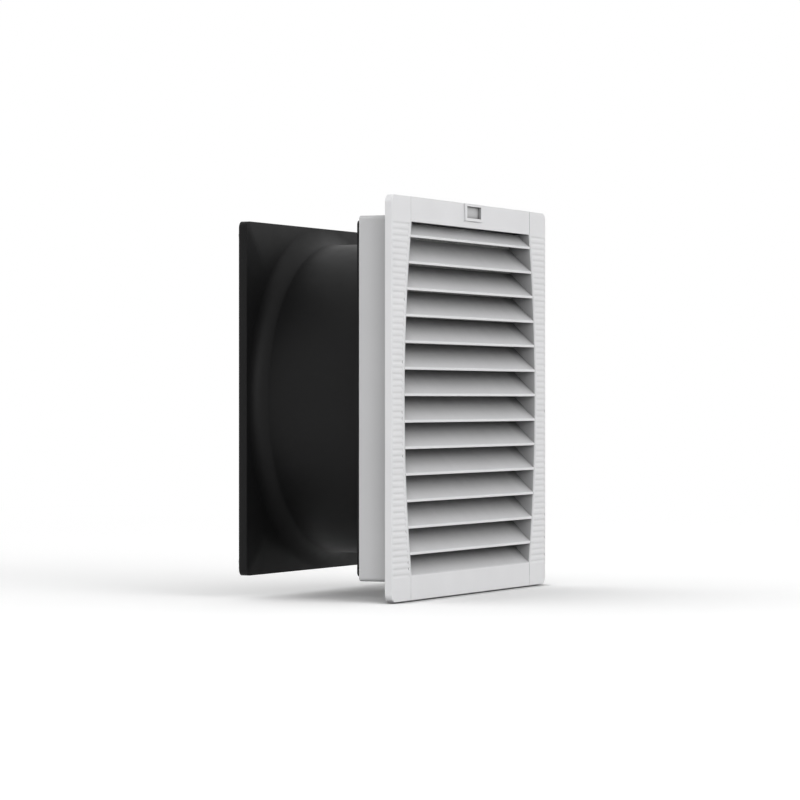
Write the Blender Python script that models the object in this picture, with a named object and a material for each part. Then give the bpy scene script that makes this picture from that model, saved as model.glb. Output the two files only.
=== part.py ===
import math

import bmesh
import bpy
from mathutils import Matrix, Vector

# A filter fan for a cabinet wall. Lengths are in metres. +Y goes into the cabinet, +Z is up,
# and the origin is the centre of the wall's cut-out, on the wall's outer face.

# Clearances
FIT = 0.0003  # between pieces that rest on each other or slide
COVER_GAP = 0.0005  # seam round the louvre cover
TIP_GAP = 0.0017  # blade tips to the barrel
AIR_GAP = 0.0005  # rotor to stator

# Front plate and its edges
PLATE_SIDE = 0.320
PLATE_THICK = 0.006
PLATE_CORNER = 0.0065
PLATE_EDGE = 0.0008
GASKET_THICK = 0.0017
GASKET_WIDTH = 0.005
GASKET_INSET = 0.007

# Ribbed rails beside the cover
RIB_PITCH = 0.00495
RIB_END_MARGIN = 0.001
RIB_WIDTH = 0.0026
RIB_DEPTH = 0.0005
RIB_OUTER_MARGIN = 0.0014
RIB_INNER_MARGIN = 0.0020

# Sleeve that goes through the wall
PLATE_OVERHANG = 0.0155
SLEEVE_WALL = 0.0025
SLEEVE_CORNER = 0.003
SLEEVE_REACH = 0.02955
REAR_WALL = 0.00225
DUCT_MARGIN = 0.00005
BOSS_HEIGHT = 0.0024
BOSS_CHAMFER = 0.030

# Louvre cover, with sides that bow out towards the middle
BAR_HEIGHT = 0.020
RAIL_MIDDLE = 0.0242
RAIL_END = 0.03775
BOW_STEPS = 12
COVER_SKIN = 0.003
CHEEK_WALL = 0.0012
LOUVRE_DEPTH = 0.019
SLAT_PITCH = 0.02097
FIRST_SLAT = 0.01232
LAST_SLAT = 0.012
SLAT_LIP = 0.0022
SLAT_THICK = 0.0026
OPENING_MARGIN = 0.001

# Hinge along the cover's bottom edge
HINGE_RADIUS = 0.003
HINGE_STEPS = 8
HINGE_LEDGE = 0.0065
PIN_RADIUS = 0.0016
PIN_LENGTH = 0.005

# Latch at the middle of the cover's top bar
LATCH_WIDTH = 0.0355
LATCH_HEIGHT = 0.01415
LATCH_TOP_MARGIN = 0.0002
LATCH_PROUD = 0.0015
LATCH_EDGE = 0.0004
POCKET_WIDTH = 0.0286
POCKET_DEPTH = 0.00245
POCKET_RIM_TOP = 0.0021
POCKET_RIM_BOTTOM = 0.0024
LATCH_SHELL = 0.001
LATCH_FLOOR_RIM = 0.0004
LATCH_TRAVEL = 0.0014
LATCH_BACK_HALF = 0.017
LATCH_BACK_HEIGHT = 0.005
LATCH_BACK_THICK = 0.0014
LATCH_NECK_HALF = 0.012
BOLT_HALF = 0.007
BOLT_THICK = 0.0011
BOLT_GRIP = 0.0009
STRIKE_HEIGHT = 0.0028
STRIKE_WALL = 0.0011
STRIKE_SIDE = 0.001

# Snap clips on the sleeve's top and bottom walls
CLIP_OFFSET = 0.075
CLIP_WIDTH = 0.020
CLIP_ROOT_RADIUS = 0.0011
CLIP_REACH = 0.0195
CLIP_CREST_REACH = 0.0173
CLIP_CREST = 0.0049
CLIP_LEAF = 0.0012
CLIP_TAIL = 0.0004
CLIP_NOSE = 0.00255
CLIP_STUB_RADIUS = 0.0006
CLIP_STUB_LENGTH = 0.002
WALL_GRIP = 0.003  # wall's outer face to the claw

# Filter mat and the grille behind it
MAT_THICK = 0.011
MAT_SIDE_GAP = 0.0004
GRID_THICK = 0.002
GRID_CELLS = 8
GRID_BAR = 0.0028
GRID_BORDER = 0.005

# Fan housing
FAN_PLATE_STEP = 0.0035
FAN_PLATE = 0.0031
FAN_PLATE_CORNER = 0.003
FLANGE_STEP = 0.00215
FLANGE_THICK = 0.007
FLANGE_CORNER = 0.0055
HOUSING_DEPTH = 0.10729
BARREL_MARGIN = 0.01255
BARREL_WALL = 0.0025
FRONT_FILLET = 0.009
REAR_FILLET = 0.0146
FRONT_BELL = 0.007
REAR_BELL = 0.011
ROUND_STEPS = 40

# Screws
SCREW_RADIUS = 0.0017
HEAD_RADIUS = 0.0033
HEAD_HEIGHT = 0.0022
SCREW_STEPS = 8
SCREW_INSET = 0.011
HOUSING_SCREW_LENGTH = 0.007
GUARD_SCREW_LENGTH = 0.0075
MOTOR_SCREW_LENGTH = 0.009
MOTOR_SCREW_INSET = 0.010
LID_SCREW_LENGTH = 0.006

# Finger guard
GUARD_ARM_WIDTH = 0.012
GUARD_ARM_THICK = 0.002
GUARD_PLATE_RIM = 0.0128
GUARD_PLATE_THICK = 0.0025
RING_PITCH = 0.00893
RING_MARGIN = 0.00795
WIRE = 0.0024
RING_STEPS = 24

# Motor
SHAFT_RADIUS = 0.004
SHAFT_LENGTH = 0.0675
BEARING_RADIUS = 0.009
BEARING_WIDTH = 0.006
TUBE_WALL = 0.003
BASE_RADIUS = 0.046
BASE_THICK = 0.0116
BASE_FLOOR = 0.0036
TUBE_LENGTH = 0.0495
ROTOR_RADIUS = 0.0463
ROTOR_LENGTH = 0.057
ROTOR_WALL = 0.005
ROTOR_FACE = 0.0025
ROTOR_BOSS_RADIUS = 0.008
ROTOR_BOSS_LENGTH = 0.008
ROTOR_LIFT = 0.0025
STATOR_LENGTH = 0.028
WINDING_CLEARANCE = 0.0037
WINDING_MARGIN = 0.0038
WINDING_LENGTH = 0.007
MOTOR_STEPS = 24

# Impeller
HUB_WALL = 0.003
HUB_LENGTH = 0.048
BLADE_COUNT = 7
BLADE_SECTIONS = 5
BLADE_STATIONS = 5
BLADE_THICK = 0.0026
BLADE_CAMBER = 0.06
ROOT_CHORD = 0.056
TIP_CHORD = 0.086
ROOT_PITCH = 42.0
TIP_PITCH = 24.0
BLADE_SWEEP = 14.0
BLADE_SINK = 0.0015

# Terminal box in the lower corner beside the barrel
BOX_WIDTH = 0.028
BOX_HEIGHT = 0.026
BOX_DEPTH = 0.024
BOX_WALL = 0.0018
BOX_SIDE_INSET = 0.0065
BOX_BOTTOM_INSET = 0.0115
LID_THICK = 0.002
BLOCK_HEIGHT = 0.013
BLOCK_DEPTH = 0.014
BLOCK_WIDTH = 0.012
WIRE_HOLES = 3
WIRE_HOLE_RADIUS = 0.0016
GLAND_RADIUS = 0.0065
GLAND_STEM = 0.0045
GLAND_BORE = 0.003
GLAND_LENGTH = 0.012
GLAND_NUT = 0.005
GLAND_STEPS = 12

# Planes along Y, from the front to the back
PLATE_REAR = -GASKET_THICK - FIT
PLATE_FRONT = PLATE_REAR - PLATE_THICK
COVER_REAR = PLATE_FRONT + COVER_SKIN
SEAT = COVER_REAR + FIT
LOUVRE_REAR = PLATE_FRONT + LOUVRE_DEPTH
SLEEVE_END = PLATE_REAR + SLEEVE_REACH
REAR_WALL_FRONT = SLEEVE_END - REAR_WALL
GRID_REAR = REAR_WALL_FRONT - FIT
GRID_FRONT = GRID_REAR - GRID_THICK
MAT_REAR = GRID_FRONT - FIT
MAT_FRONT = MAT_REAR - MAT_THICK
FAN_PLATE_FRONT = SLEEVE_END + FIT
FAN_PLATE_REAR = FAN_PLATE_FRONT + FAN_PLATE
FLANGE_REAR = FAN_PLATE_FRONT + HOUSING_DEPTH
FLANGE_FRONT = FLANGE_REAR - FLANGE_THICK
GUARD_FRONT = FLANGE_REAR + FIT
ARM_REAR = GUARD_FRONT + GUARD_ARM_THICK
GUARD_PLATE_REAR = GUARD_FRONT + GUARD_PLATE_THICK
BASE_REAR = GUARD_FRONT - FIT
BASE_FRONT = BASE_REAR - BASE_THICK
TUBE_FRONT = BASE_FRONT - TUBE_LENGTH
ROTOR_REAR = BASE_FRONT - ROTOR_LIFT
ROTOR_FRONT = ROTOR_REAR - ROTOR_LENGTH

# Sizes that follow from the ones above
PLATE_HALF = PLATE_SIDE / 2
FIELD_HALF_HEIGHT = PLATE_HALF - BAR_HEIGHT
FIELD_HALF_MIDDLE = PLATE_HALF - RAIL_MIDDLE
FIELD_HALF_END = PLATE_HALF - RAIL_END
SLEEVE_HALF = PLATE_HALF - PLATE_OVERHANG
CAVITY_HALF = SLEEVE_HALF - SLEEVE_WALL
FAN_PLATE_HALF = SLEEVE_HALF - FAN_PLATE_STEP
FLANGE_HALF = SLEEVE_HALF - FLANGE_STEP
BARREL_RADIUS = FAN_PLATE_HALF - BARREL_MARGIN
OPENING_HALF_HEIGHT = FIELD_HALF_HEIGHT + OPENING_MARGIN
COVER_HALF = FIELD_HALF_END + CHEEK_WALL
SEAT_HALF = COVER_HALF + COVER_GAP
HINGE_Y = PLATE_FRONT + HINGE_RADIUS
HINGE_Z = -PLATE_HALF + HINGE_RADIUS
BARREL_INNER = BARREL_RADIUS - BARREL_WALL
DUCT_RADIUS = BARREL_INNER + FRONT_BELL + DUCT_MARGIN
RING_OUTER = BARREL_INNER + REAR_BELL - RING_MARGIN
HUB_INNER = ROTOR_RADIUS + FIT
HUB_OUTER = HUB_INNER + HUB_WALL
TIP_RADIUS = BARREL_INNER - TIP_GAP
ROTOR_INNER = ROTOR_RADIUS - ROTOR_WALL
STATOR_OUTER = ROTOR_INNER - AIR_GAP
TUBE_INNER = BEARING_RADIUS + FIT
TUBE_OUTER = TUBE_INNER + TUBE_WALL
WINDING_INNER = TUBE_OUTER + WINDING_CLEARANCE
WINDING_OUTER = STATOR_OUTER - WINDING_MARGIN
MOTOR_SCREW_CIRCLE = BASE_RADIUS - MOTOR_SCREW_INSET
GUARD_PLATE_RADIUS = BASE_RADIUS + GUARD_PLATE_RIM
CLIP_PIVOT_Y = WALL_GRIP + CLIP_REACH
CLIP_PIVOT_Z = SLEEVE_HALF - SLEEVE_WALL / 2
FAN_SCREW = FAN_PLATE_HALF - SCREW_INSET
GUARD_SCREW = FLANGE_HALF - SCREW_INSET
LATCH_TOP = PLATE_HALF - LATCH_TOP_MARGIN
LATCH_BOTTOM = LATCH_TOP - LATCH_HEIGHT
POCKET_TOP = LATCH_TOP - POCKET_RIM_TOP
POCKET_BOTTOM = LATCH_BOTTOM + POCKET_RIM_BOTTOM
POCKET_FLOOR = PLATE_FRONT - LATCH_PROUD + POCKET_DEPTH
LATCH_BODY_REAR = POCKET_FLOOR + LATCH_SHELL
LATCH_BODY_TOP = POCKET_TOP + LATCH_SHELL
LATCH_BODY_BOTTOM = POCKET_BOTTOM - LATCH_FLOOR_RIM
LATCH_BODY_HALF = POCKET_WIDTH / 2 + LATCH_SHELL
LATCH_BACK_FRONT = COVER_REAR + FIT
LATCH_BACK_REAR = LATCH_BACK_FRONT + LATCH_BACK_THICK
LATCH_BACK_BOTTOM = POCKET_BOTTOM + LATCH_FLOOR_RIM
STRIKE_BOTTOM = PLATE_HALF - STRIKE_HEIGHT
BOLT_TOP = STRIKE_BOTTOM + BOLT_GRIP
BOLT_FRONT = LATCH_BACK_REAR - BOLT_THICK
STRIKE_FRONT = BOLT_FRONT - FIT - STRIKE_WALL
LATCH_ROOM_REAR = LATCH_BACK_REAR + FIT
BOX_RIGHT = FLANGE_HALF - BOX_SIDE_INSET
BOX_LEFT = BOX_RIGHT - BOX_WIDTH
BOX_LOW = -FLANGE_HALF + BOX_BOTTOM_INSET
BOX_HIGH = BOX_LOW + BOX_HEIGHT
BOX_REAR = FLANGE_FRONT - FIT
BOX_FRONT = BOX_REAR - BOX_DEPTH
BOX_MIDDLE = ((BOX_LEFT + BOX_RIGHT) / 2, (BOX_FRONT + BOX_REAR) / 2, (BOX_LOW + BOX_HIGH) / 2)

PALE = (0.72, 0.72, 0.73)
BLACK = (0.012, 0.012, 0.013)
STEEL = (0.55, 0.56, 0.57)


def clear_scene():
    for obj in list(bpy.data.objects):
        bpy.data.objects.remove(obj, do_unlink=True)


def make_material(name, colour, roughness, metallic):
    material = bpy.data.materials.new(name)
    material.use_nodes = True
    shader = material.node_tree.nodes["Principled BSDF"]
    shader.inputs["Base Color"].default_value = (*colour, 1.0)
    shader.inputs["Roughness"].default_value = roughness
    shader.inputs["Metallic"].default_value = metallic
    return material


def link_mesh(bm, name):
    """Closed shapes to a linked object, faces outward."""
    bmesh.ops.recalc_face_normals(bm, faces=bm.faces)
    mesh = bpy.data.meshes.new(name)
    bm.to_mesh(mesh)
    bm.free()
    obj = bpy.data.objects.new(name, mesh)
    bpy.context.scene.collection.objects.link(obj)
    return obj


def make_piece(bm, name, colour, roughness=0.5, metallic=0.0, smooth=False):
    obj = link_mesh(bm, name)
    obj.data.materials.append(make_material(name, colour, roughness, metallic))
    if smooth:
        obj.data.shade_smooth()
        obj.data.set_sharp_from_angle(angle=math.radians(35))
    return obj


def combine(target, bm, name, operation):
    """Adds the shape to the target or cuts it away, as a live Boolean."""
    tool = link_mesh(bm, name)
    tool.hide_render = True
    tool.display_type = "WIRE"
    modifier = target.modifiers.new(name, "BOOLEAN")
    modifier.operation = operation
    modifier.solver = "EXACT"
    modifier.object = tool


def add(target, bm, name):
    combine(target, bm, "add_" + name, "UNION")


def cut(target, bm, name):
    combine(target, bm, "cut_" + name, "DIFFERENCE")


def add_prism(bm, outline, axis, low, high):
    """A closed outline of the two other coordinates, extruded along one axis."""
    order = {"X": (2, 0, 1), "Y": (0, 2, 1), "Z": (0, 1, 2)}[axis]

    def place(first, second, level):
        values = (first, second, level)
        return Vector(values[index] for index in order)

    face = bm.faces.new([bm.verts.new(place(u, v, low)) for u, v in outline])
    extruded = bmesh.ops.extrude_face_region(bm, geom=[face])["geom"]
    moved = [item for item in extruded if isinstance(item, bmesh.types.BMVert)]
    bmesh.ops.translate(bm, vec=place(0, 0, high - low), verts=moved)


def prism(outline, axis, low, high):
    bm = bmesh.new()
    add_prism(bm, outline, axis, low, high)
    return bm


def add_box(bm, low, high):
    size = Vector(high) - Vector(low)
    middle = (Vector(high) + Vector(low)) / 2
    matrix = Matrix.Translation(middle) @ Matrix.Diagonal((*size, 1.0))
    bmesh.ops.create_cube(bm, size=1.0, matrix=matrix)


def box(low, high):
    bm = bmesh.new()
    add_box(bm, low, high)
    return bm


def circle(radius, steps, centre=(0.0, 0.0)):
    turns = [2 * math.pi * (step + 0.5) / steps for step in range(steps)]
    return [(centre[0] + radius * math.cos(a), centre[1] + radius * math.sin(a)) for a in turns]


def arc(centre, radius, start, end, steps):
    """Points on an arc between two angles in degrees, both ends included."""
    angles = [math.radians(start + (end - start) * step / steps) for step in range(steps + 1)]
    return [(centre[0] + radius * math.cos(a), centre[1] + radius * math.sin(a)) for a in angles]


def rounded_square(half, corner, steps=4):
    inner = half - corner
    points = []
    for quarter, (sign_x, sign_z) in enumerate(((1, 1), (-1, 1), (-1, -1), (1, -1))):
        centre = (sign_x * inner, sign_z * inner)
        points += arc(centre, corner, 90 * quarter, 90 * quarter + 90, steps)
    return points


def chamfered_square(half, chamfer):
    near = half - chamfer
    return [
        (half, -near), (half, near), (near, half), (-near, half),
        (-half, near), (-half, -near), (-near, -half), (near, -half),
    ]


def corner_points(reach):
    return [(reach, reach), (-reach, reach), (-reach, -reach), (reach, -reach)]


def revolve(profile, steps):
    """A closed profile of radius and Y, turned about the Y axis."""
    bm = bmesh.new()
    verts = [bm.verts.new((radius, y, 0.0)) for radius, y in profile]
    edges = [bm.edges.new((verts[i - 1], verts[i])) for i in range(len(verts))]
    on_axis = [edge for edge in edges if all(abs(v.co.x) < 1e-9 for v in edge.verts)]
    bmesh.ops.delete(bm, geom=on_axis, context="EDGES")
    bmesh.ops.spin(
        bm,
        geom=bm.verts[:] + bm.edges[:],
        cent=(0, 0, 0),
        axis=(0, 1, 0),
        angle=2 * math.pi,
        steps=steps,
        use_merge=True,
    )
    bmesh.ops.remove_doubles(bm, verts=bm.verts, dist=1e-6)
    return bm


def bow_half(z):
    """Half the louvre field's width at a height: its sides are arcs."""
    rise = FIELD_HALF_MIDDLE - FIELD_HALF_END
    radius = (rise**2 + FIELD_HALF_HEIGHT**2) / (2 * rise)
    return FIELD_HALF_MIDDLE - radius + math.sqrt(radius**2 - z**2)


def bow_heights(half_height):
    return [half_height * (2 * step / BOW_STEPS - 1) for step in range(BOW_STEPS + 1)]


def bowed_outline(extra, half_height):
    heights = bow_heights(half_height)
    right = [(bow_half(z) + extra, z) for z in heights]
    left = [(-bow_half(z) - extra, z) for z in reversed(heights)]
    return right + left


def front_frame():
    frame = make_piece(
        prism(rounded_square(PLATE_HALF, PLATE_CORNER), "Y", PLATE_FRONT, PLATE_REAR),
        "front_frame", PALE, 0.45,
    )
    rim = frame.modifiers.new("front_edge", "BEVEL")
    rim.limit_method = "WEIGHT"
    rim.width = PLATE_EDGE
    rim.segments = 2
    mark_front_edges(frame.data)
    over = PLATE_THICK / 2
    sleeve = rounded_square(SLEEVE_HALF, SLEEVE_CORNER)
    add(frame, prism(sleeve, "Y", PLATE_REAR - over, SLEEVE_END), "sleeve")
    cut_air_path(frame)
    cut_cover_seat(frame)
    add_strike(frame)
    for side in (-1, 1):
        cut(frame, rib_grooves(side), "ribs_right" if side > 0 else "ribs_left")
    cut(frame, clip_windows(), "clip_windows")
    cut(frame, clip_stub_holes(), "clip_stub_holes")
    holes = bmesh.new()
    for x, z in corner_points(FAN_SCREW):
        outline = circle(SCREW_RADIUS + FIT, SCREW_STEPS, (x, z))
        add_prism(holes, outline, "Y", REAR_WALL_FRONT - BOSS_HEIGHT - over, SLEEVE_END + over)
    cut(frame, holes, "screw_holes")


def mark_front_edges(mesh):
    weights = mesh.attributes.new("bevel_weight_edge", "FLOAT", "EDGE")
    for edge in mesh.edges:
        if all(abs(mesh.vertices[index].co.y - PLATE_FRONT) < 1e-6 for index in edge.vertices):
            weights.data[edge.index].value = 1.0


def cut_air_path(frame):
    """Opening for the cover, the sleeve's inside and the round duct in its rear wall."""
    over = PLATE_THICK / 2
    opening = bowed_outline(CHEEK_WALL + COVER_GAP, OPENING_HALF_HEIGHT)
    cut(frame, prism(opening, "Y", PLATE_FRONT - over, PLATE_REAR + over), "opening")
    boss_front = REAR_WALL_FRONT - BOSS_HEIGHT
    square = rounded_square(CAVITY_HALF, SLEEVE_CORNER - SLEEVE_WALL)
    cut(frame, prism(square, "Y", PLATE_REAR, boss_front), "cavity")
    mitred = chamfered_square(CAVITY_HALF, BOSS_CHAMFER)
    cut(frame, prism(mitred, "Y", boss_front - over, REAR_WALL_FRONT), "corner_bosses")
    duct = circle(DUCT_RADIUS, ROUND_STEPS)
    cut(frame, prism(duct, "Y", REAR_WALL_FRONT - over, SLEEVE_END + over), "duct")


def cut_cover_seat(frame):
    """Room for the cover's bars, for its hinge along the bottom and for the hinge pins."""
    over = PLATE_THICK / 2
    low = (-SEAT_HALF, PLATE_FRONT - over, -PLATE_HALF - over)
    cut(frame, box(low, (SEAT_HALF, SEAT, PLATE_HALF + over)), "cover_seat")
    ledge = -PLATE_HALF + HINGE_LEDGE
    cut(frame, box(low, (SEAT_HALF, PLATE_REAR + over, ledge)), "hinge_seat")
    holes = bmesh.new()
    for side in (-1, 1):
        ends = sorted((side * (SEAT_HALF - over), side * (COVER_HALF + PIN_LENGTH + FIT)))
        add_prism(holes, circle(PIN_RADIUS + FIT, SCREW_STEPS, (HINGE_Y, HINGE_Z)), "X", *ends)
    cut(frame, holes, "pin_holes")
    room_low = (-LATCH_BACK_HALF - COVER_GAP, SEAT - over, LATCH_BACK_BOTTOM - LATCH_TRAVEL - COVER_GAP)
    room_high = (LATCH_BACK_HALF + COVER_GAP, LATCH_ROOM_REAR, STRIKE_BOTTOM)
    cut(frame, box(room_low, room_high), "latch_room")


def add_strike(frame):
    """Catch for the latch's bolt at the top of the plate, with a slot open downwards."""
    half = BOLT_HALF + COVER_GAP + STRIKE_SIDE
    add(frame, box((-half, STRIKE_FRONT, STRIKE_BOTTOM), (half, SEAT + STRIKE_WALL, PLATE_HALF)), "strike")
    slot = BOLT_HALF + COVER_GAP
    low = (-slot, BOLT_FRONT - FIT, STRIKE_BOTTOM - STRIKE_WALL)
    cut(frame, box(low, (slot, LATCH_ROOM_REAR, BOLT_TOP + COVER_GAP)), "bolt_slot")


def rib_grooves(side):
    """Shallow level grooves across one rail, each ending short of the bowed seam."""
    bm = bmesh.new()
    over = RIB_DEPTH
    half = RIB_WIDTH / 2 * (RIB_DEPTH + over) / RIB_DEPTH
    outer = PLATE_HALF - RIB_OUTER_MARGIN
    reach = int((FIELD_HALF_HEIGHT - RIB_END_MARGIN) / RIB_PITCH)
    for index in range(-reach, reach + 1):
        z = index * RIB_PITCH
        inner = bow_half(z) + CHEEK_WALL + COVER_GAP + RIB_INNER_MARGIN
        open_side = PLATE_FRONT - over
        outline = [(PLATE_FRONT + RIB_DEPTH, z), (open_side, z + half), (open_side, z - half)]
        add_prism(bm, outline, "X", *sorted((side * inner, side * outer)))
    return bm


def clip_places():
    """Middle of each clip's root, and whether it is on the top wall."""
    return [(x, z > 0, z) for z in (CLIP_PIVOT_Z, -CLIP_PIVOT_Z) for x in (-CLIP_OFFSET, CLIP_OFFSET)]


def clip_windows():
    bm = bmesh.new()
    half = CLIP_WIDTH / 2 + FIT
    front = WALL_GRIP - FIT
    rear = CLIP_PIVOT_Y + CLIP_ROOT_RADIUS + FIT
    for x, _, z in clip_places():
        add_box(bm, (x - half, front, z - SLEEVE_WALL), (x + half, rear, z + SLEEVE_WALL))
    return bm


def clip_stub_holes():
    bm = bmesh.new()
    reach = CLIP_WIDTH / 2 + CLIP_STUB_LENGTH + FIT
    for x, _, z in clip_places():
        outline = circle(CLIP_STUB_RADIUS + FIT, 8, (CLIP_PIVOT_Y, z))
        add_prism(bm, outline, "X", x - reach, x + reach)
    return bm


def snap_clips():
    """Bent claws that turn inwards about stubs at their roots."""
    ramp = [
        (-CLIP_CREST_REACH, CLIP_CREST),
        (-CLIP_REACH, CLIP_NOSE),
        (-CLIP_REACH, -CLIP_TAIL),
        (CLIP_LEAF - CLIP_REACH, -CLIP_TAIL),
        (CLIP_LEAF - CLIP_REACH, CLIP_NOSE - CLIP_LEAF / 4),
        (-CLIP_CREST_REACH + CLIP_LEAF / 2, CLIP_CREST - CLIP_LEAF * 1.3),
    ]
    root = arc((0, 0), CLIP_ROOT_RADIUS, -90, 90, 4)
    half = CLIP_WIDTH / 2
    for number, (x, is_top, z) in enumerate(clip_places(), 1):
        clip = make_piece(prism(root + ramp, "X", -half, half), f"snap_clip_{number}", STEEL, 0.35, 0.9)
        stub = circle(CLIP_STUB_RADIUS, 8)
        reach = half + CLIP_STUB_LENGTH
        add(clip, prism(stub, "X", -reach, reach), f"clip_stubs_{number}")
        clip.location = (x, CLIP_PIVOT_Y, z)
        stubs = clip.modifiers[0].object
        stubs.parent = clip
        if not is_top:
            clip.rotation_euler = (0, math.pi, 0)


def wall_gasket():
    outer = PLATE_HALF - GASKET_INSET
    inner = outer - GASKET_WIDTH
    gasket = make_piece(
        prism(rounded_square(outer, PLATE_CORNER), "Y", PLATE_REAR + FIT, 0.0),
        "wall_gasket", (0.05, 0.05, 0.05), 0.9,
    )
    hole = rounded_square(inner, PLATE_CORNER - GASKET_WIDTH / 2)
    cut(gasket, prism(hole, "Y", PLATE_REAR, GASKET_THICK), "gasket_hole")


def cover_shell():
    """Bars and cheeks of the cover, with the cheeks drawn back along the slats' ends."""
    bm = bmesh.new()
    heights = bow_heights(FIELD_HALF_HEIGHT)
    rows = {}
    for side in (-1, 1):
        inner = [bm.verts.new((side * bow_half(z), PLATE_FRONT, z)) for z in heights]
        outer = [bm.verts.new((side * (bow_half(z) + CHEEK_WALL), PLATE_FRONT, z)) for z in heights]
        for step in range(BOW_STEPS):
            bm.faces.new((inner[step], outer[step], outer[step + 1], inner[step + 1]))
        rows[side] = (inner, outer)
    top = PLATE_HALF
    bottom = HINGE_Z + HINGE_RADIUS / 2
    for index, level in ((-1, top), (0, bottom)):
        corners = [bm.verts.new((side * COVER_HALF, PLATE_FRONT, level)) for side in (1, -1)]
        left, right = rows[-1], rows[1]
        bm.faces.new((*corners, left[1][index], left[0][index], right[0][index], right[1][index]))
    cheeks = draw_back(bm, bm.faces[:], COVER_SKIN)
    narrow = [face for face in cheeks if len(face.verts) == 4]
    draw_back(bm, narrow, LOUVRE_DEPTH - COVER_SKIN)
    edges = [
        edge for edge in bm.edges
        if all(abs(v.co.z - top) < 1e-6 and abs(v.co.y - PLATE_FRONT) < 1e-6 for v in edge.verts)
    ]
    bmesh.ops.bevel(
        bm, geom=edges, offset=PLATE_EDGE, segments=2, profile=0.5, affect="EDGES", material=-1,
    )
    return bm


def draw_back(bm, faces, distance):
    edges = list({edge for face in faces for edge in face.edges})
    extruded = bmesh.ops.extrude_face_region(bm, geom=faces + edges)["geom"]
    verts = [item for item in extruded if isinstance(item, bmesh.types.BMVert)]
    bmesh.ops.translate(bm, vec=(0, distance, 0), verts=verts)
    return [item for item in extruded if isinstance(item, bmesh.types.BMFace)]


def slat_profile(bottom):
    """Lip on the front plane, then a blade that slopes up and back at 45 degrees."""
    lip_top = bottom + SLAT_LIP
    depth = min(LOUVRE_DEPTH, FIELD_HALF_HEIGHT - COVER_GAP - lip_top)
    return [
        (PLATE_FRONT, bottom),
        (PLATE_FRONT, lip_top),
        (PLATE_FRONT + depth, lip_top + depth),
        (PLATE_FRONT + depth, lip_top + depth - SLAT_THICK),
        (PLATE_FRONT + SLAT_THICK - SLAT_LIP, bottom),
    ]


def sill_profile():
    """The lowest blade, which rises from the bottom bar."""
    bar = -FIELD_HALF_HEIGHT
    root = bar - COVER_SKIN / 2
    return [
        (PLATE_FRONT, root),
        (PLATE_FRONT, bar),
        (LOUVRE_REAR, bar + LOUVRE_DEPTH),
        (LOUVRE_REAR, bar + LOUVRE_DEPTH - SLAT_THICK),
        (PLATE_FRONT + SLAT_THICK, bar),
        (PLATE_FRONT + SLAT_THICK, root),
    ]


def slats():
    """All the blades, each ending inside the cheeks."""
    bm = bmesh.new()
    top = FIELD_HALF_HEIGHT - FIRST_SLAT
    count = int((top + FIELD_HALF_HEIGHT - LAST_SLAT) / SLAT_PITCH) + 1
    bottoms = [top - index * SLAT_PITCH for index in range(count)]
    for outline in [sill_profile()] + [slat_profile(bottom) for bottom in bottoms]:
        ends = []
        for side in (-1, 1):
            heights = [max(z, -FIELD_HALF_HEIGHT) for _, z in outline]
            reach = [side * (bow_half(z) + CHEEK_WALL / 2) for z in heights]
            ends.append([bm.verts.new((x, y, z)) for x, (y, z) in zip(reach, outline)])
        bm.faces.new(ends[0])
        bm.faces.new(ends[1][::-1])
        for i in range(len(outline)):
            bm.faces.new((ends[0][i - 1], ends[0][i], ends[1][i], ends[1][i - 1]))
    return bm


def louvre_cover():
    """The hinged front flap. Its origin is on the hinge."""
    cover = make_piece(cover_shell(), "louvre_cover", PALE, 0.45)
    add(cover, slats(), "slats")
    barrel = arc((HINGE_Y, HINGE_Z), HINGE_RADIUS, 90, -90, HINGE_STEPS)
    knee = HINGE_Z + 2 * HINGE_RADIUS
    edge = [
        (PLATE_FRONT + PLATE_EDGE, -PLATE_HALF),
        (PLATE_FRONT, -PLATE_HALF + PLATE_EDGE),
        (PLATE_FRONT, knee),
        (COVER_REAR, knee),
    ]
    add(cover, prism(edge + barrel, "X", -COVER_HALF, COVER_HALF), "hinge_edge")
    pins = bmesh.new()
    for side in (-1, 1):
        ends = sorted((side * (COVER_HALF - PIN_LENGTH), side * (COVER_HALF + PIN_LENGTH)))
        add_prism(pins, circle(PIN_RADIUS, SCREW_STEPS, (HINGE_Y, HINGE_Z)), "X", *ends)
    add(cover, pins, "hinge_pins")
    over = COVER_SKIN / 2
    half = LATCH_BODY_HALF + FIT
    low = (-half, PLATE_FRONT - over, LATCH_BODY_BOTTOM - LATCH_TRAVEL - FIT)
    cut(cover, box(low, (half, COVER_REAR + over, LATCH_BODY_TOP + FIT)), "latch_window")
    half = BOLT_HALF + COVER_GAP + STRIKE_SIDE + FIT
    low = (-half, STRIKE_FRONT - FIT, STRIKE_BOTTOM - FIT)
    cut(cover, box(low, (half, COVER_REAR + over, PLATE_HALF + over)), "strike_notch")
    move_origin(cover, (0, HINGE_Y, HINGE_Z))


def move_origin(obj, place):
    """Puts the object's origin, and those of its tools, at a place with the shape unmoved."""
    shift = Matrix.Translation(-Vector(place))
    tools = [modifier.object for modifier in obj.modifiers if modifier.type == "BOOLEAN"]
    for item in [obj] + tools:
        item.data.transform(shift)
        item.location = place


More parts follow.
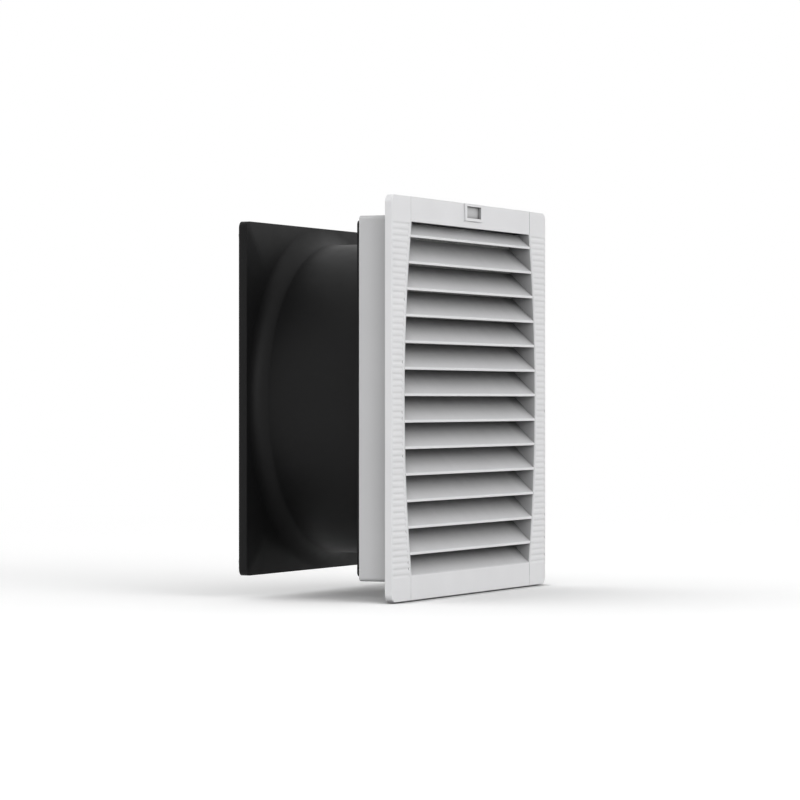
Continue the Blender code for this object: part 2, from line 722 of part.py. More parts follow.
def cover_latch():
    """Thumb slide: rim and pocket in front, bolt behind the cover."""
    half = LATCH_WIDTH / 2
    bm = box((-half, PLATE_FRONT - LATCH_PROUD, LATCH_BOTTOM), (half, PLATE_FRONT - FIT, LATCH_TOP))
    front = [e for e in bm.edges if all(v.co.y < PLATE_FRONT - FIT * 2 for v in e.verts)]
    bmesh.ops.bevel(
        bm, geom=front, offset=LATCH_EDGE, segments=2, profile=0.5, affect="EDGES", material=-1,
    )
    latch = make_piece(bm, "cover_latch", PALE, 0.45)
    body = LATCH_BODY_HALF
    low = (-body, PLATE_FRONT - LATCH_PROUD / 2, LATCH_BODY_BOTTOM)
    add(latch, box(low, (body, LATCH_BODY_REAR, LATCH_BODY_TOP)), "latch_body")
    pocket = POCKET_WIDTH / 2
    low = (-pocket, PLATE_FRONT - LATCH_PROUD * 2, POCKET_BOTTOM)
    cut(latch, box(low, (pocket, POCKET_FLOOR, POCKET_TOP)), "latch_pocket")
    back_top = LATCH_BACK_BOTTOM + LATCH_BACK_HEIGHT
    neck = LATCH_NECK_HALF
    low = (-neck, POCKET_FLOOR + LATCH_SHELL / 2, LATCH_BACK_BOTTOM + FIT)
    add(latch, box(low, (neck, LATCH_BACK_FRONT + FIT, back_top - FIT)), "latch_neck")
    back = LATCH_BACK_HALF
    low = (-back, LATCH_BACK_FRONT, LATCH_BACK_BOTTOM)
    add(latch, box(low, (back, LATCH_BACK_REAR, back_top)), "latch_back")
    low = (-BOLT_HALF, BOLT_FRONT, back_top - LATCH_SHELL)
    add(latch, box(low, (BOLT_HALF, LATCH_BACK_REAR, BOLT_TOP)), "bolt")
    move_origin(latch, (0, PLATE_FRONT, (LATCH_TOP + LATCH_BOTTOM) / 2))


def filter_mat():
    half = CAVITY_HALF - MAT_SIDE_GAP
    outline = rounded_square(half, SLEEVE_CORNER - SLEEVE_WALL)
    make_piece(prism(outline, "Y", MAT_FRONT, MAT_REAR), "filter_mat", (0.75, 0.75, 0.72), 0.95)


def support_grid():
    """Square mesh behind the mat, mitred round the sleeve's corner bosses."""
    half = CAVITY_HALF - MAT_SIDE_GAP
    chamfer = BOSS_CHAMFER + FIT
    grid = make_piece(
        prism(chamfered_square(half, chamfer), "Y", GRID_FRONT, GRID_REAR),
        "support_grid", PALE, 0.5,
    )
    pitch = (2 * (half - GRID_BORDER) + GRID_BAR) / GRID_CELLS
    hole = (pitch - GRID_BAR) / 2
    holes = bmesh.new()
    for row in range(GRID_CELLS):
        for column in range(GRID_CELLS):
            x = (column - (GRID_CELLS - 1) / 2) * pitch
            z = (row - (GRID_CELLS - 1) / 2) * pitch
            if abs(x) + abs(z) + 2 * hole > 2 * half - chamfer - GRID_BORDER:
                continue
            low = (x - hole, GRID_FRONT - GRID_THICK, z - hole)
            add_box(holes, low, (x + hole, GRID_REAR + GRID_THICK, z + hole))
    cut(grid, holes, "grid_cells")


def housing_profile():
    """Barrel with a bell mouth at each end and a disc for each square plate."""
    disc = 2 * FLANGE_HALF
    front_bell = (BARREL_INNER + FRONT_BELL, FAN_PLATE_FRONT + FRONT_BELL)
    rear_bell = (BARREL_INNER + REAR_BELL, FLANGE_REAR - REAR_BELL)
    rear_fillet = (BARREL_RADIUS + REAR_FILLET, FLANGE_FRONT - REAR_FILLET)
    front_fillet = (BARREL_RADIUS + FRONT_FILLET, FAN_PLATE_REAR + FRONT_FILLET)
    return (
        [(disc, FAN_PLATE_FRONT)]
        + arc(front_bell, FRONT_BELL, 270, 180, 2)
        + arc(rear_bell, REAR_BELL, 180, 90, 3)
        + [(disc, FLANGE_REAR), (disc, FLANGE_FRONT)]
        + arc(rear_fillet, REAR_FILLET, 90, 180, 4)
        + arc(front_fillet, FRONT_FILLET, 180, 270, 2)
        + [(disc, FAN_PLATE_REAR)]
    )


def fan_housing():
    """Square, round, square: the barrel between the front plate and the rear flange."""
    housing = make_piece(revolve(housing_profile(), ROUND_STEPS), "fan_housing", BLACK, 0.4, smooth=True)
    over = FLANGE_THICK / 2
    square = rounded_square(FLANGE_HALF, FLANGE_CORNER, 3)
    envelope = prism(square, "Y", FAN_PLATE_FRONT - over, FLANGE_REAR + over)
    combine(housing, envelope, "keep_square", "INTERSECT")
    trim = link_mesh(
        prism(chamfered_square(FAN_PLATE_HALF, FAN_PLATE_CORNER), "Y",
              FAN_PLATE_FRONT - 2 * over, FAN_PLATE_REAR + 2 * over),
        "plate_outline",
    )
    trim.hide_render = True
    trim.display_type = "WIRE"
    beyond = rounded_square(2 * FLANGE_HALF, FLANGE_CORNER)
    cut(housing, prism(beyond, "Y", FAN_PLATE_FRONT - over, FAN_PLATE_REAR + over), "plate_margin")
    margin = housing.modifiers[-1].object
    inner = margin.modifiers.new("plate_outline", "BOOLEAN")
    inner.operation = "DIFFERENCE"
    inner.object = trim
    holes = bmesh.new()
    for x, z in corner_points(FAN_SCREW):
        outline = circle(SCREW_RADIUS + FIT, SCREW_STEPS, (x, z))
        add_prism(holes, outline, "Y", FAN_PLATE_FRONT - over, FAN_PLATE_REAR + over)
    for x, z in corner_points(GUARD_SCREW):
        outline = circle(SCREW_RADIUS + FIT, SCREW_STEPS, (x, z))
        depth = GUARD_SCREW_LENGTH - GUARD_ARM_THICK
        add_prism(holes, outline, "Y", FLANGE_REAR - depth, FLANGE_REAR + over)
    cut(housing, holes, "housing_holes")


def guard_rings():
    """Rings of square wire on the guard's arms, from the outermost inwards."""
    half = WIRE / 2
    seat = ARM_REAR + FIT
    count = int((RING_OUTER - GUARD_PLATE_RADIUS - WIRE) / RING_PITCH) + 1
    for index in range(count):
        radius = RING_OUTER - index * RING_PITCH
        name = f"guard_ring_{index + 1}"
        turned_ring(name, radius - half, radius + half, seat, seat + WIRE, BLACK, 0.4, 0.6, RING_STEPS)


def finger_guard():
    """Arms to the flange's corners, and the plate that carries the motor."""
    plate = circle(GUARD_PLATE_RADIUS, MOTOR_STEPS)
    guard = make_piece(
        prism(plate, "Y", GUARD_FRONT, GUARD_PLATE_REAR), "finger_guard", BLACK, 0.4, 0.6,
    )
    root = GUARD_PLATE_RADIUS * 0.8
    reach = GUARD_SCREW * math.sqrt(2)
    half = GUARD_ARM_WIDTH / 2
    arms = bmesh.new()
    outline = [(root, -half)] + arc((reach, 0), half, -90, 90, 6) + [(root, half)]
    for quarter in range(4):
        turn = math.radians(45 + 90 * quarter)
        along = Vector((math.cos(turn), math.sin(turn)))
        across = Vector((-along.y, along.x))
        turned = [along * u + across * v for u, v in outline]
        add_prism(arms, turned, "Y", GUARD_FRONT, ARM_REAR)
    add(guard, arms, "guard_arms")
    holes = bmesh.new()
    for x, z in corner_points(GUARD_SCREW) + motor_screw_places():
        outline = circle(SCREW_RADIUS + FIT, SCREW_STEPS, (x, z))
        add_prism(holes, outline, "Y", GUARD_FRONT - GUARD_ARM_THICK, GUARD_PLATE_REAR + GUARD_ARM_THICK)
    cut(guard, holes, "guard_holes")


def motor_screw_places():
    reach = MOTOR_SCREW_CIRCLE
    return [(reach, 0), (0, reach), (-reach, 0), (0, -reach)]


def motor_base():
    """Cast foot with the tube that holds the bearings and carries the stator."""
    profile = [
        (0, BASE_REAR - BASE_FLOOR),
        (TUBE_INNER, BASE_REAR - BASE_FLOOR),
        (TUBE_INNER, TUBE_FRONT),
        (TUBE_OUTER, TUBE_FRONT),
        (TUBE_OUTER, BASE_FRONT),
        (BASE_RADIUS, BASE_FRONT),
        (BASE_RADIUS, BASE_REAR),
        (0, BASE_REAR),
    ]
    base = make_piece(revolve(profile, MOTOR_STEPS), "motor_base", (0.45, 0.46, 0.47), 0.5, 0.8, smooth=True)
    holes = bmesh.new()
    depth = MOTOR_SCREW_LENGTH - GUARD_PLATE_THICK
    for place in motor_screw_places():
        outline = circle(SCREW_RADIUS + FIT, SCREW_STEPS, place)
        add_prism(holes, outline, "Y", BASE_REAR - depth, BASE_REAR + FIT)
    cut(base, holes, "motor_screw_holes")


def turned_ring(name, inner, outer, low, high, colour, roughness, metallic, steps=MOTOR_STEPS):
    profile = [(inner, low), (outer, low), (outer, high), (inner, high)]
    make_piece(revolve(profile, steps), name, colour, roughness, metallic, smooth=True)


def motor_inside():
    """Stator, its windings, the bearings and the shaft."""
    middle = (TUBE_FRONT + BASE_FRONT) / 2
    front = middle - STATOR_LENGTH / 2
    rear = middle + STATOR_LENGTH / 2
    copper = (0.45, 0.2, 0.08)
    turned_ring("stator_core", TUBE_OUTER + FIT, STATOR_OUTER, front, rear, STEEL, 0.5, 0.7)
    turned_ring(
        "winding_front", WINDING_INNER, WINDING_OUTER,
        front - FIT - WINDING_LENGTH, front - FIT, copper, 0.4, 0.6,
    )
    turned_ring(
        "winding_rear", WINDING_INNER, WINDING_OUTER,
        rear + FIT, rear + FIT + WINDING_LENGTH, copper, 0.4, 0.6,
    )
    bore = SHAFT_RADIUS + FIT
    starts = {"bearing_front": TUBE_FRONT + FIT, "bearing_rear": BASE_FRONT - BEARING_WIDTH / 2}
    for name, start in starts.items():
        turned_ring(name, bore, BEARING_RADIUS, start, start + BEARING_WIDTH, STEEL, 0.25, 1.0, 16)
    shaft = circle(SHAFT_RADIUS, 16)
    start = ROTOR_FRONT - FIT
    make_piece(prism(shaft, "Y", start, start + SHAFT_LENGTH), "motor_shaft", STEEL, 0.25, 1.0, smooth=True)


def rotor_can():
    """Cup that turns round the stator, with a boss on the shaft."""
    bore = SHAFT_RADIUS + FIT
    edge = ROTOR_FACE
    profile = [
        (bore, ROTOR_FRONT),
        (ROTOR_RADIUS - edge, ROTOR_FRONT),
        (ROTOR_RADIUS, ROTOR_FRONT + edge),
        (ROTOR_RADIUS, ROTOR_REAR),
        (ROTOR_INNER, ROTOR_REAR),
        (ROTOR_INNER, ROTOR_FRONT + ROTOR_FACE),
        (ROTOR_BOSS_RADIUS, ROTOR_FRONT + ROTOR_FACE),
        (ROTOR_BOSS_RADIUS, ROTOR_FRONT + ROTOR_BOSS_LENGTH),
        (bore, ROTOR_FRONT + ROTOR_BOSS_LENGTH),
    ]
    make_piece(revolve(profile, MOTOR_STEPS), "rotor_can", (0.03, 0.03, 0.032), 0.45, 0.5, smooth=True)


def blade(bm, turn, middle):
    """One cambered blade, lofted through sections between the hub and the tip circle."""
    sections = []
    for row in range(BLADE_SECTIONS):
        share = row / (BLADE_SECTIONS - 1)
        radius = (HUB_OUTER - BLADE_SINK) * (1 - share) + TIP_RADIUS * share
        chord = ROOT_CHORD + (TIP_CHORD - ROOT_CHORD) * share
        pitch = math.radians(ROOT_PITCH + (TIP_PITCH - ROOT_PITCH) * share)
        swept = turn + math.radians(BLADE_SWEEP) * share**2
        sections.append(blade_section(bm, radius, chord, pitch, swept, middle))
    for lower, upper in zip(sections, sections[1:]):
        count = len(lower)
        for i in range(count):
            bm.faces.new((lower[i - 1], lower[i], upper[i], upper[i - 1]))
    bm.faces.new(sections[0])
    bm.faces.new(list(reversed(sections[-1])))


def blade_section(bm, radius, chord, pitch, swept, middle):
    """A thin cambered section wrapped on a cylinder."""
    stations = [step / (BLADE_STATIONS - 1) - 0.5 for step in range(BLADE_STATIONS)]
    upper = []
    lower = []
    for t in stations:
        rise = BLADE_CAMBER * chord * (1 - 4 * t * t)
        half = BLADE_THICK / 2 * (1 - 0.7 * abs(2 * t) ** 3)
        for side, row in ((1, upper), (-1, lower)):
            along = t * chord
            across = rise + side * half
            around = along * math.cos(pitch) - across * math.sin(pitch)
            axial = along * math.sin(pitch) + across * math.cos(pitch)
            angle = swept + around / radius
            row.append(bm.verts.new((radius * math.sin(angle), middle + axial, radius * math.cos(angle))))
    return upper + lower[::-1]


def impeller():
    """Hub sleeve on the rotor can, with swept blades."""
    front = ROTOR_FRONT + (ROTOR_LENGTH - HUB_LENGTH) / 2
    middle = front + HUB_LENGTH / 2
    rear = front + HUB_LENGTH
    profile = [(HUB_INNER, front), (HUB_OUTER, front), (HUB_OUTER, rear), (HUB_INNER, rear)]
    wheel = make_piece(revolve(profile, MOTOR_STEPS), "impeller", BLACK, 0.45, smooth=True)
    blades = bmesh.new()
    for index in range(BLADE_COUNT):
        blade(blades, 2 * math.pi * index / BLADE_COUNT, middle)
    add(wheel, blades, "blades")


def screw(name, place, length, turn):
    """Pan-head screw: the seat of the head is at the place, and the shank goes along the turned -Y."""
    profile = [
        (0, -length),
        (SCREW_RADIUS, -length),
        (SCREW_RADIUS, 0),
        (HEAD_RADIUS, 0),
        (HEAD_RADIUS, HEAD_HEIGHT / 2),
        (HEAD_RADIUS / 2, HEAD_HEIGHT),
        (0, HEAD_HEIGHT),
    ]
    piece = make_piece(revolve(profile, SCREW_STEPS), name, STEEL, 0.35, 0.9, smooth=True)
    piece.location = place
    piece.rotation_euler = turn


def all_screws():
    straight = (0, 0, 0)
    for number, (x, z) in enumerate(corner_points(FAN_SCREW), 1):
        place = (x, FAN_PLATE_REAR + FIT, z)
        screw(f"housing_screw_{number}", place, HOUSING_SCREW_LENGTH, straight)
    for number, (x, z) in enumerate(corner_points(GUARD_SCREW), 1):
        screw(f"guard_screw_{number}", (x, ARM_REAR + FIT, z), GUARD_SCREW_LENGTH, straight)
    for number, (x, z) in enumerate(motor_screw_places(), 1):
        screw(f"motor_screw_{number}", (x, GUARD_PLATE_REAR + FIT, z), MOTOR_SCREW_LENGTH, straight)
    outward = (0, 0, -math.pi / 2)
    for number, (y, z) in enumerate(lid_screw_places(), 1):
        place = (BOX_RIGHT + FIT + LID_THICK + FIT, y, z)
        screw(f"lid_screw_{number}", place, LID_SCREW_LENGTH, outward)


def lid_screw_places():
    inset = BOX_WALL + SCREW_RADIUS + FIT
    return [(BOX_FRONT + inset, BOX_HIGH - inset), (BOX_REAR - inset, BOX_LOW + inset)]


def terminal_box():
    """Open box on the rear flange with its lid, wire block and gland."""
    low = (BOX_LEFT, BOX_FRONT, BOX_LOW)
    high = (BOX_RIGHT, BOX_REAR, BOX_HIGH)
    body = make_piece(box(low, high), "terminal_box", BLACK, 0.5)
    inside_low = tuple(value + BOX_WALL for value in low)
    inside_high = (BOX_RIGHT + BOX_WALL, BOX_REAR - BOX_WALL, BOX_HIGH - BOX_WALL)
    cut(body, box(inside_low, inside_high), "box_inside")
    posts = bmesh.new()
    reach = 2 * (SCREW_RADIUS + FIT)
    corners = [(BOX_FRONT, BOX_HIGH, 1, -1), (BOX_REAR, BOX_LOW, -1, 1)]
    for y, z, step_y, step_z in corners:
        ends_y = sorted((y + step_y * BOX_WALL / 2, y + step_y * (BOX_WALL + reach)))
        ends_z = sorted((z + step_z * BOX_WALL / 2, z + step_z * (BOX_WALL + reach)))
        add_box(posts, (BOX_LEFT + BOX_WALL / 2, ends_y[0], ends_z[0]), (BOX_RIGHT, ends_y[1], ends_z[1]))
    add(body, posts, "lid_posts")
    holes = bmesh.new()
    for place in lid_screw_places():
        outline = circle(SCREW_RADIUS + FIT, SCREW_STEPS, place)
        add_prism(holes, outline, "X", BOX_RIGHT - LID_SCREW_LENGTH, BOX_RIGHT + FIT)
    cut(body, holes, "box_screw_holes")
    x, _, z = BOX_MIDDLE
    entry = circle(GLAND_STEM + FIT, GLAND_STEPS, (x, z))
    cut(body, prism(entry, "Y", BOX_FRONT - BOX_WALL, BOX_FRONT + 2 * BOX_WALL), "gland_hole")
    lid = make_piece(
        box((BOX_RIGHT + FIT, BOX_FRONT, BOX_LOW), (BOX_RIGHT + FIT + LID_THICK, BOX_REAR, BOX_HIGH)),
        "terminal_lid", BLACK, 0.5,
    )
    lid_holes = bmesh.new()
    for place in lid_screw_places():
        outline = circle(SCREW_RADIUS + FIT, SCREW_STEPS, place)
        add_prism(lid_holes, outline, "X", BOX_RIGHT, BOX_RIGHT + 2 * LID_THICK)
    cut(lid, lid_holes, "lid_holes")
    terminal_block()
    cable_gland()


def terminal_block():
    """Block that clamps the wires, seated on the box's inner wall."""
    _, y, z = BOX_MIDDLE
    start = BOX_LEFT + BOX_WALL + FIT
    rear = BOX_REAR - BOX_WALL - FIT
    front = rear - BLOCK_DEPTH
    half = BLOCK_HEIGHT / 2
    block = make_piece(
        box((start, front, z - half), (start + BLOCK_WIDTH, rear, z + half)),
        "terminal_block", (0.6, 0.6, 0.58), 0.5,
    )
    holes = bmesh.new()
    for index in range(WIRE_HOLES):
        level = z + (index - (WIRE_HOLES - 1) / 2) * BLOCK_HEIGHT / WIRE_HOLES
        outline = circle(WIRE_HOLE_RADIUS, 10, (start + BLOCK_WIDTH / 2, level))
        add_prism(holes, outline, "Y", front - FIT, front + BLOCK_DEPTH / 2)
    cut(block, holes, "wire_holes")


def cable_gland():
    """Gland through the box's front wall: nut outside, stem inside."""
    x, _, z = BOX_MIDDLE
    seat = BOX_FRONT - FIT
    profile = [
        (GLAND_BORE, seat - GLAND_NUT),
        (GLAND_RADIUS * 0.8, seat - GLAND_NUT),
        (GLAND_RADIUS, seat - GLAND_NUT * 0.7),
        (GLAND_RADIUS, seat),
        (GLAND_STEM, seat),
        (GLAND_STEM, seat - GLAND_NUT + GLAND_LENGTH),
        (GLAND_BORE, seat - GLAND_NUT + GLAND_LENGTH),
    ]
    gland = make_piece(revolve(profile, GLAND_STEPS), "cable_gland", (0.03, 0.03, 0.03), 0.5, smooth=True)
    gland.location = (x, 0, z)


def main():
    clear_scene()
    front_frame()
    louvre_cover()
    cover_latch()
    wall_gasket()
    filter_mat()
    support_grid()
    snap_clips()
    fan_housing()
    finger_guard()
    guard_rings()
    motor_base()
    motor_inside()
    rotor_can()
    impeller()
    all_screws()
    terminal_box()


main()
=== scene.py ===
import math

import bmesh
import bpy
from mathutils import Matrix, Vector, noise


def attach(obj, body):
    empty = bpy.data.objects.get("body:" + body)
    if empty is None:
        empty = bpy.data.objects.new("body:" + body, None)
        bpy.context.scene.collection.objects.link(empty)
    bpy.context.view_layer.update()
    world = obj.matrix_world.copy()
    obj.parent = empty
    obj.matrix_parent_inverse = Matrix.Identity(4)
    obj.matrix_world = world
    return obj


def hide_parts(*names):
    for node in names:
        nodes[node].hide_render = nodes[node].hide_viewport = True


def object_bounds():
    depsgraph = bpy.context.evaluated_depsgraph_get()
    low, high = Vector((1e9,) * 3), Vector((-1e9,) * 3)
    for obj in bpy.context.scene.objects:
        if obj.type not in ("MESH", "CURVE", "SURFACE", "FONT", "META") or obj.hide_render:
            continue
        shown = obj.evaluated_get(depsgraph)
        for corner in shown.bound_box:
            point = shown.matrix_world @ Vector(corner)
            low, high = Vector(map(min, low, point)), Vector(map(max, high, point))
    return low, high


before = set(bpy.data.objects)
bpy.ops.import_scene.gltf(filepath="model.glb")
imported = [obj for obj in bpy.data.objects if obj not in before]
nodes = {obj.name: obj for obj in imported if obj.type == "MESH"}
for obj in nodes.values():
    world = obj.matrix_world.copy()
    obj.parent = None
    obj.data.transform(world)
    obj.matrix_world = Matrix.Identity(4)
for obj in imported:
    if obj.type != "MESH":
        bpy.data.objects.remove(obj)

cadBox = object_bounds()
gap = 0.0003  # clearance between neighbouring pieces
merge = 0.000001  # vertices closer than this become one
planar = 0.00001  # how far a vertex may lie off its face's plane


# Helpers that add a shader node and return what comes out of it

def worked(tree, operation, *values):
    # arithmetic on fields and numbers
    node = tree.nodes.new("ShaderNodeMath")
    node.operation = operation
    for socket, value in zip(node.inputs, values):
        if isinstance(value, float):
            socket.default_value = value
        else:
            tree.links.new(value, socket)
    return node.outputs["Value"]


def mapped(tree, field, before, after=(0.0, 1.0), smooth=False):
    # carries a field from one range to another
    node = tree.nodes.new("ShaderNodeMapRange")
    if smooth:
        node.interpolation_type = "SMOOTHSTEP"
    for name, value in zip(("From Min", "From Max", "To Min", "To Max"), (*before, *after)):
        node.inputs[name].default_value = value
    tree.links.new(field, node.inputs["Value"])
    return node.outputs["Result"]


def mixed(tree, share, first, second):
    node = tree.nodes.new("ShaderNodeMixShader")
    for socket, value in zip(node.inputs, (share, first, second)):
        tree.links.new(value, socket)
    return node.outputs["Shader"]


def parts(tree, vector):
    # X, Y and Z of a vector
    node = tree.nodes.new("ShaderNodeSeparateXYZ")
    tree.links.new(vector, node.inputs["Vector"])
    return node.outputs


# Camera, light and floor

viewValues = {
    "place": (-2.6545, -1.1455, -0.0012),
    "forward": (0.9108, 0.4128, 0.0),
    "lens": 157.84,
    "sensor": 36.0,
    "reach": 200.0,
}


def addCamera():
    data = bpy.data.cameras.new("camera")
    data.lens = viewValues["lens"]
    data.sensor_width = viewValues["sensor"]
    data.clip_end = viewValues["reach"]
    camera = bpy.data.objects.new("camera", data)
    camera.location = viewValues["place"]
    camera.rotation_euler = Vector(viewValues["forward"]).to_track_quat("-Z", "Y").to_euler()
    bpy.context.scene.collection.objects.link(camera)
    bpy.context.scene.camera = camera
    bpy.context.scene.view_settings.view_transform = "Standard"


lightValues = {
    # heights of the bright band's edges, then its strength below and above them
    "band": (0.12, 0.65),
    "strength": (2.5, 0.5),
    # a little more from behind than from the front, so the shadow falls forward
    "sides": (0.6, 1.4),
    "softbox": {"size": 2.4, "power": 54.0, "place": (-1.1, -3.1, 0.7), "shine": 0.25},
}


def seenRays(tree):
    # 1 for camera, mirror and glass rays, 0 for the light that falls on the object
    path = tree.nodes.new("ShaderNodeLightPath")
    seen = path.outputs["Is Camera Ray"]
    for name in ("Is Glossy Ray", "Is Transmission Ray"):
        seen = worked(tree, "MAXIMUM", seen, path.outputs[name])
    return seen


def addLight():
    world = bpy.data.worlds.new("whiteRoom")
    world.use_nodes = True
    bpy.context.scene.world = world
    tree = world.node_tree
    sky = tree.nodes["Background"]  # a bright band round the room, softer overhead
    sky.inputs["Color"].default_value = (1.0, 1.0, 1.0, 1.0)
    direction = parts(tree, tree.nodes.new("ShaderNodeTexCoord").outputs["Generated"])
    height = mapped(tree, direction["Z"], lightValues["band"], lightValues["strength"], smooth=True)
    side = mapped(tree, direction["Y"], (-1.0, 1.0), lightValues["sides"])
    tree.links.new(worked(tree, "MULTIPLY", height, side), sky.inputs["Strength"])
    white = tree.nodes.new("ShaderNodeBackground")  # what the camera and reflections see
    white.inputs["Color"].default_value = (1.0, 1.0, 1.0, 1.0)
    white.inputs["Strength"].default_value = 1.0
    both = mixed(tree, seenRays(tree), sky.outputs["Background"], white.outputs["Background"])
    tree.links.new(both, tree.nodes["World Output"].inputs["Surface"])

    box = lightValues["softbox"]
    data = bpy.data.lights.new("softbox", "AREA")
    data.size = box["size"]
    data.energy = box["power"]
    data.specular_factor = box["shine"]
    lamp = bpy.data.objects.new("softbox", data)
    lamp.location = box["place"]
    lamp.rotation_euler = (-Vector(box["place"])).to_track_quat("-Z", "Y").to_euler()
    bpy.context.scene.collection.objects.link(lamp)


floorValues = {
    "half": 60.0,
    "drop": 0.0008,
    "light": 1.16,
    "dark": 1.15,
    "touch": 0.016,
    "shadowPower": 1.3,
    "bounce": 0.14,
    "fade": (0.6, 2.4),
}


def addFloor():
    bm = bmesh.new()
    bmesh.ops.create_grid(bm, x_segments=1, y_segments=1, size=floorValues["half"])
    level = cadBox[0].z - floorValues["drop"]
    bmesh.ops.translate(bm, vec=(0, 0, level), verts=bm.verts)
    mesh = bpy.data.meshes.new("floor")
    bm.to_mesh(mesh)
    bm.free()
    floor = bpy.data.objects.new("floor", mesh)
    bpy.context.scene.collection.objects.link(floor)
    pale = floorValues["light"]
    grey = floorValues["dark"]
    paint = grainMaterial(
        "floorPaint", (grey, grey, grey), (pale, pale, pale),
        patch=6, rough=(0.85, 0.95), grain=400, depth=0.0001, strength=0.02, specular=0.0,
    )
    mesh.materials.append(paint)
    # a painted contact shadow where the object stands on it, white in the distance, and a dull surface for
    # the light that it throws back on the object
    tree = paint.node_tree
    # painted shadow: darker where the object stands close above the floor
    scaledColour(tree, paintedShade(tree, floorValues["touch"], floorValues["shadowPower"], local=False))
    away = tree.nodes.new("ShaderNodeVectorMath")
    away.operation = "LENGTH"
    tree.links.new(objectPlace(tree, (1.0, 1.0, 0.0)), away.inputs[0])
    fade = mapped(tree, away.outputs["Value"], floorValues["fade"], smooth=True)
    painted = tree.nodes["Principled BSDF"].outputs["BSDF"]
    white = tree.nodes.new("ShaderNodeEmission")
    dull = tree.nodes.new("ShaderNodeBsdfDiffuse")
    dull.inputs["Color"].default_value = (floorValues["bounce"],) * 3 + (1.0,)
    seen = mixed(tree, fade, painted, white.outputs["Emission"])
    both = mixed(tree, seenRays(tree), dull.outputs["BSDF"], seen)
    tree.links.new(both, tree.nodes["Material Output"].inputs["Surface"])


# Materials: every pattern reads Object coordinates, in metres

def objectPlace(tree, stretch=(1.0, 1.0, 1.0), turn=(0.0, 0.0, 0.0)):
    coords = tree.nodes.new("ShaderNodeTexCoord")
    mapping = tree.nodes.new("ShaderNodeMapping")
    mapping.inputs["Scale"].default_value = stretch
    mapping.inputs["Rotation"].default_value = turn
    tree.links.new(coords.outputs["Object"], mapping.inputs["Vector"])
    return mapping.outputs["Vector"]


def noiseField(tree, place, scale, detail=3.0):
    texture = tree.nodes.new("ShaderNodeTexNoise")
    texture.inputs["Scale"].default_value = scale
    texture.inputs["Detail"].default_value = detail
    tree.links.new(place, texture.inputs["Vector"])
    return texture.outputs["Fac"]


noiseValues = {
    # where most of a noise texture's values lie, for gloss and for colour
    "gloss": (0.3, 0.7),
    "tint": (0.32, 0.68),
}


def tint(tree, field, dark, light):
    ramp = tree.nodes.new("ShaderNodeValToRGB")
    for stop, place, colour in zip(ramp.color_ramp.elements, noiseValues["tint"], (dark, light)):
        stop.position = place
        stop.color = (*colour, 1.0)
    tree.links.new(field, ramp.inputs["Fac"])
    return ramp.outputs["Color"]


def bumped(tree, field, strength, depth):
    bump = tree.nodes.new("ShaderNodeBump")
    bump.inputs["Strength"].default_value = strength
    bump.inputs["Distance"].default_value = depth
    tree.links.new(field, bump.inputs["Height"])
    return bump.outputs["Normal"]


def shaderOf(name, metallic, specular):
    material = bpy.data.materials.new(name)
    material.use_nodes = True
    shader = material.node_tree.nodes["Principled BSDF"]
    shader.inputs["Metallic"].default_value = metallic
    shader.inputs["Specular IOR Level"].default_value = specular
    return material, material.node_tree, shader


def grainMaterial(name, dark, light, patch, rough, grain, depth, strength,
                  metallic=0.0, specular=0.5, stretch=(1.0, 1.0, 1.0)):
    # patchy colour, uneven gloss and a fine grain
    material, tree, shader = shaderOf(name, metallic, specular)
    plain = objectPlace(tree)
    drawn = objectPlace(tree, stretch)
    patches = noiseField(tree, plain, patch)
    fine = noiseField(tree, drawn, grain, 2.0)
    slow = noiseField(tree, plain, patch * 3)
    tree.links.new(tint(tree, patches, dark, light), shader.inputs["Base Color"])
    tree.links.new(mapped(tree, slow, noiseValues["gloss"], rough), shader.inputs["Roughness"])
    tree.links.new(bumped(tree, fine, strength, depth), shader.inputs["Normal"])
    return material


def paintedShade(tree, reach, power, local=True):
    # painted shade: 1 on open faces, towards 0 where nearby faces close over them
    hidden = tree.nodes.new("ShaderNodeAmbientOcclusion")
    hidden.inputs["Distance"].default_value = reach
    hidden.only_local = local
    return worked(tree, "POWER", hidden.outputs["AO"], power)


def awayFromFront(tree, low, high):
    # low on faces that look forward, up or down, and high on those that look sideways or back
    normal = parts(tree, tree.nodes.new("ShaderNodeTexCoord").outputs["Normal"])
    away = worked(tree, "MAXIMUM", worked(tree, "ABSOLUTE", normal["X"]), normal["Y"])
    return mapped(tree, away, paleValues["turn"], (low, high))


def scaledColour(tree, factor):
    # multiplies the base colour by a field
    base = tree.nodes["Principled BSDF"].inputs["Base Color"]
    darker = tree.nodes.new("ShaderNodeVectorMath")
    darker.operation = "SCALE"
    tree.links.new(base.links[0].from_socket, darker.inputs[0])
    tree.links.new(factor, darker.inputs["Scale"])
    tree.links.new(darker.outputs["Vector"], base)


fleeceValues = {
    "stretch": (900, 60, 90),
    "turns": (0.3, 1.4, 2.5),
    "detail": 4.0,
    "dark": (0.50, 0.50, 0.48),
    "light": (0.82, 0.82, 0.80),
    "rough": (0.85, 1.0),
    "specular": 0.1,
    "sheen": 0.3,
    "bump": 0.8,
    "depth": 0.0008,
}


def fleeceMaterial(name):
    # felted fibres: crossing sets of long noise
    v = fleeceValues
    material, tree, shader = shaderOf(name, 0.0, v["specular"])
    shader.inputs["Sheen Weight"].default_value = v["sheen"]
    places = [objectPlace(tree, v["stretch"], (0, turn, 0)) for turn in v["turns"]]
    fibres, *others = [noiseField(tree, place, 1.0, v["detail"]) for place in places]
    for field in others:
        fibres = worked(tree, "MAXIMUM", fibres, field)
    tree.links.new(tint(tree, fibres, v["dark"], v["light"]), shader.inputs["Base Color"])
    tree.links.new(mapped(tree, fibres, noiseValues["gloss"], v["rough"]), shader.inputs["Roughness"])
    tree.links.new(bumped(tree, fibres, v["bump"], v["depth"]), shader.inputs["Normal"])
    return material


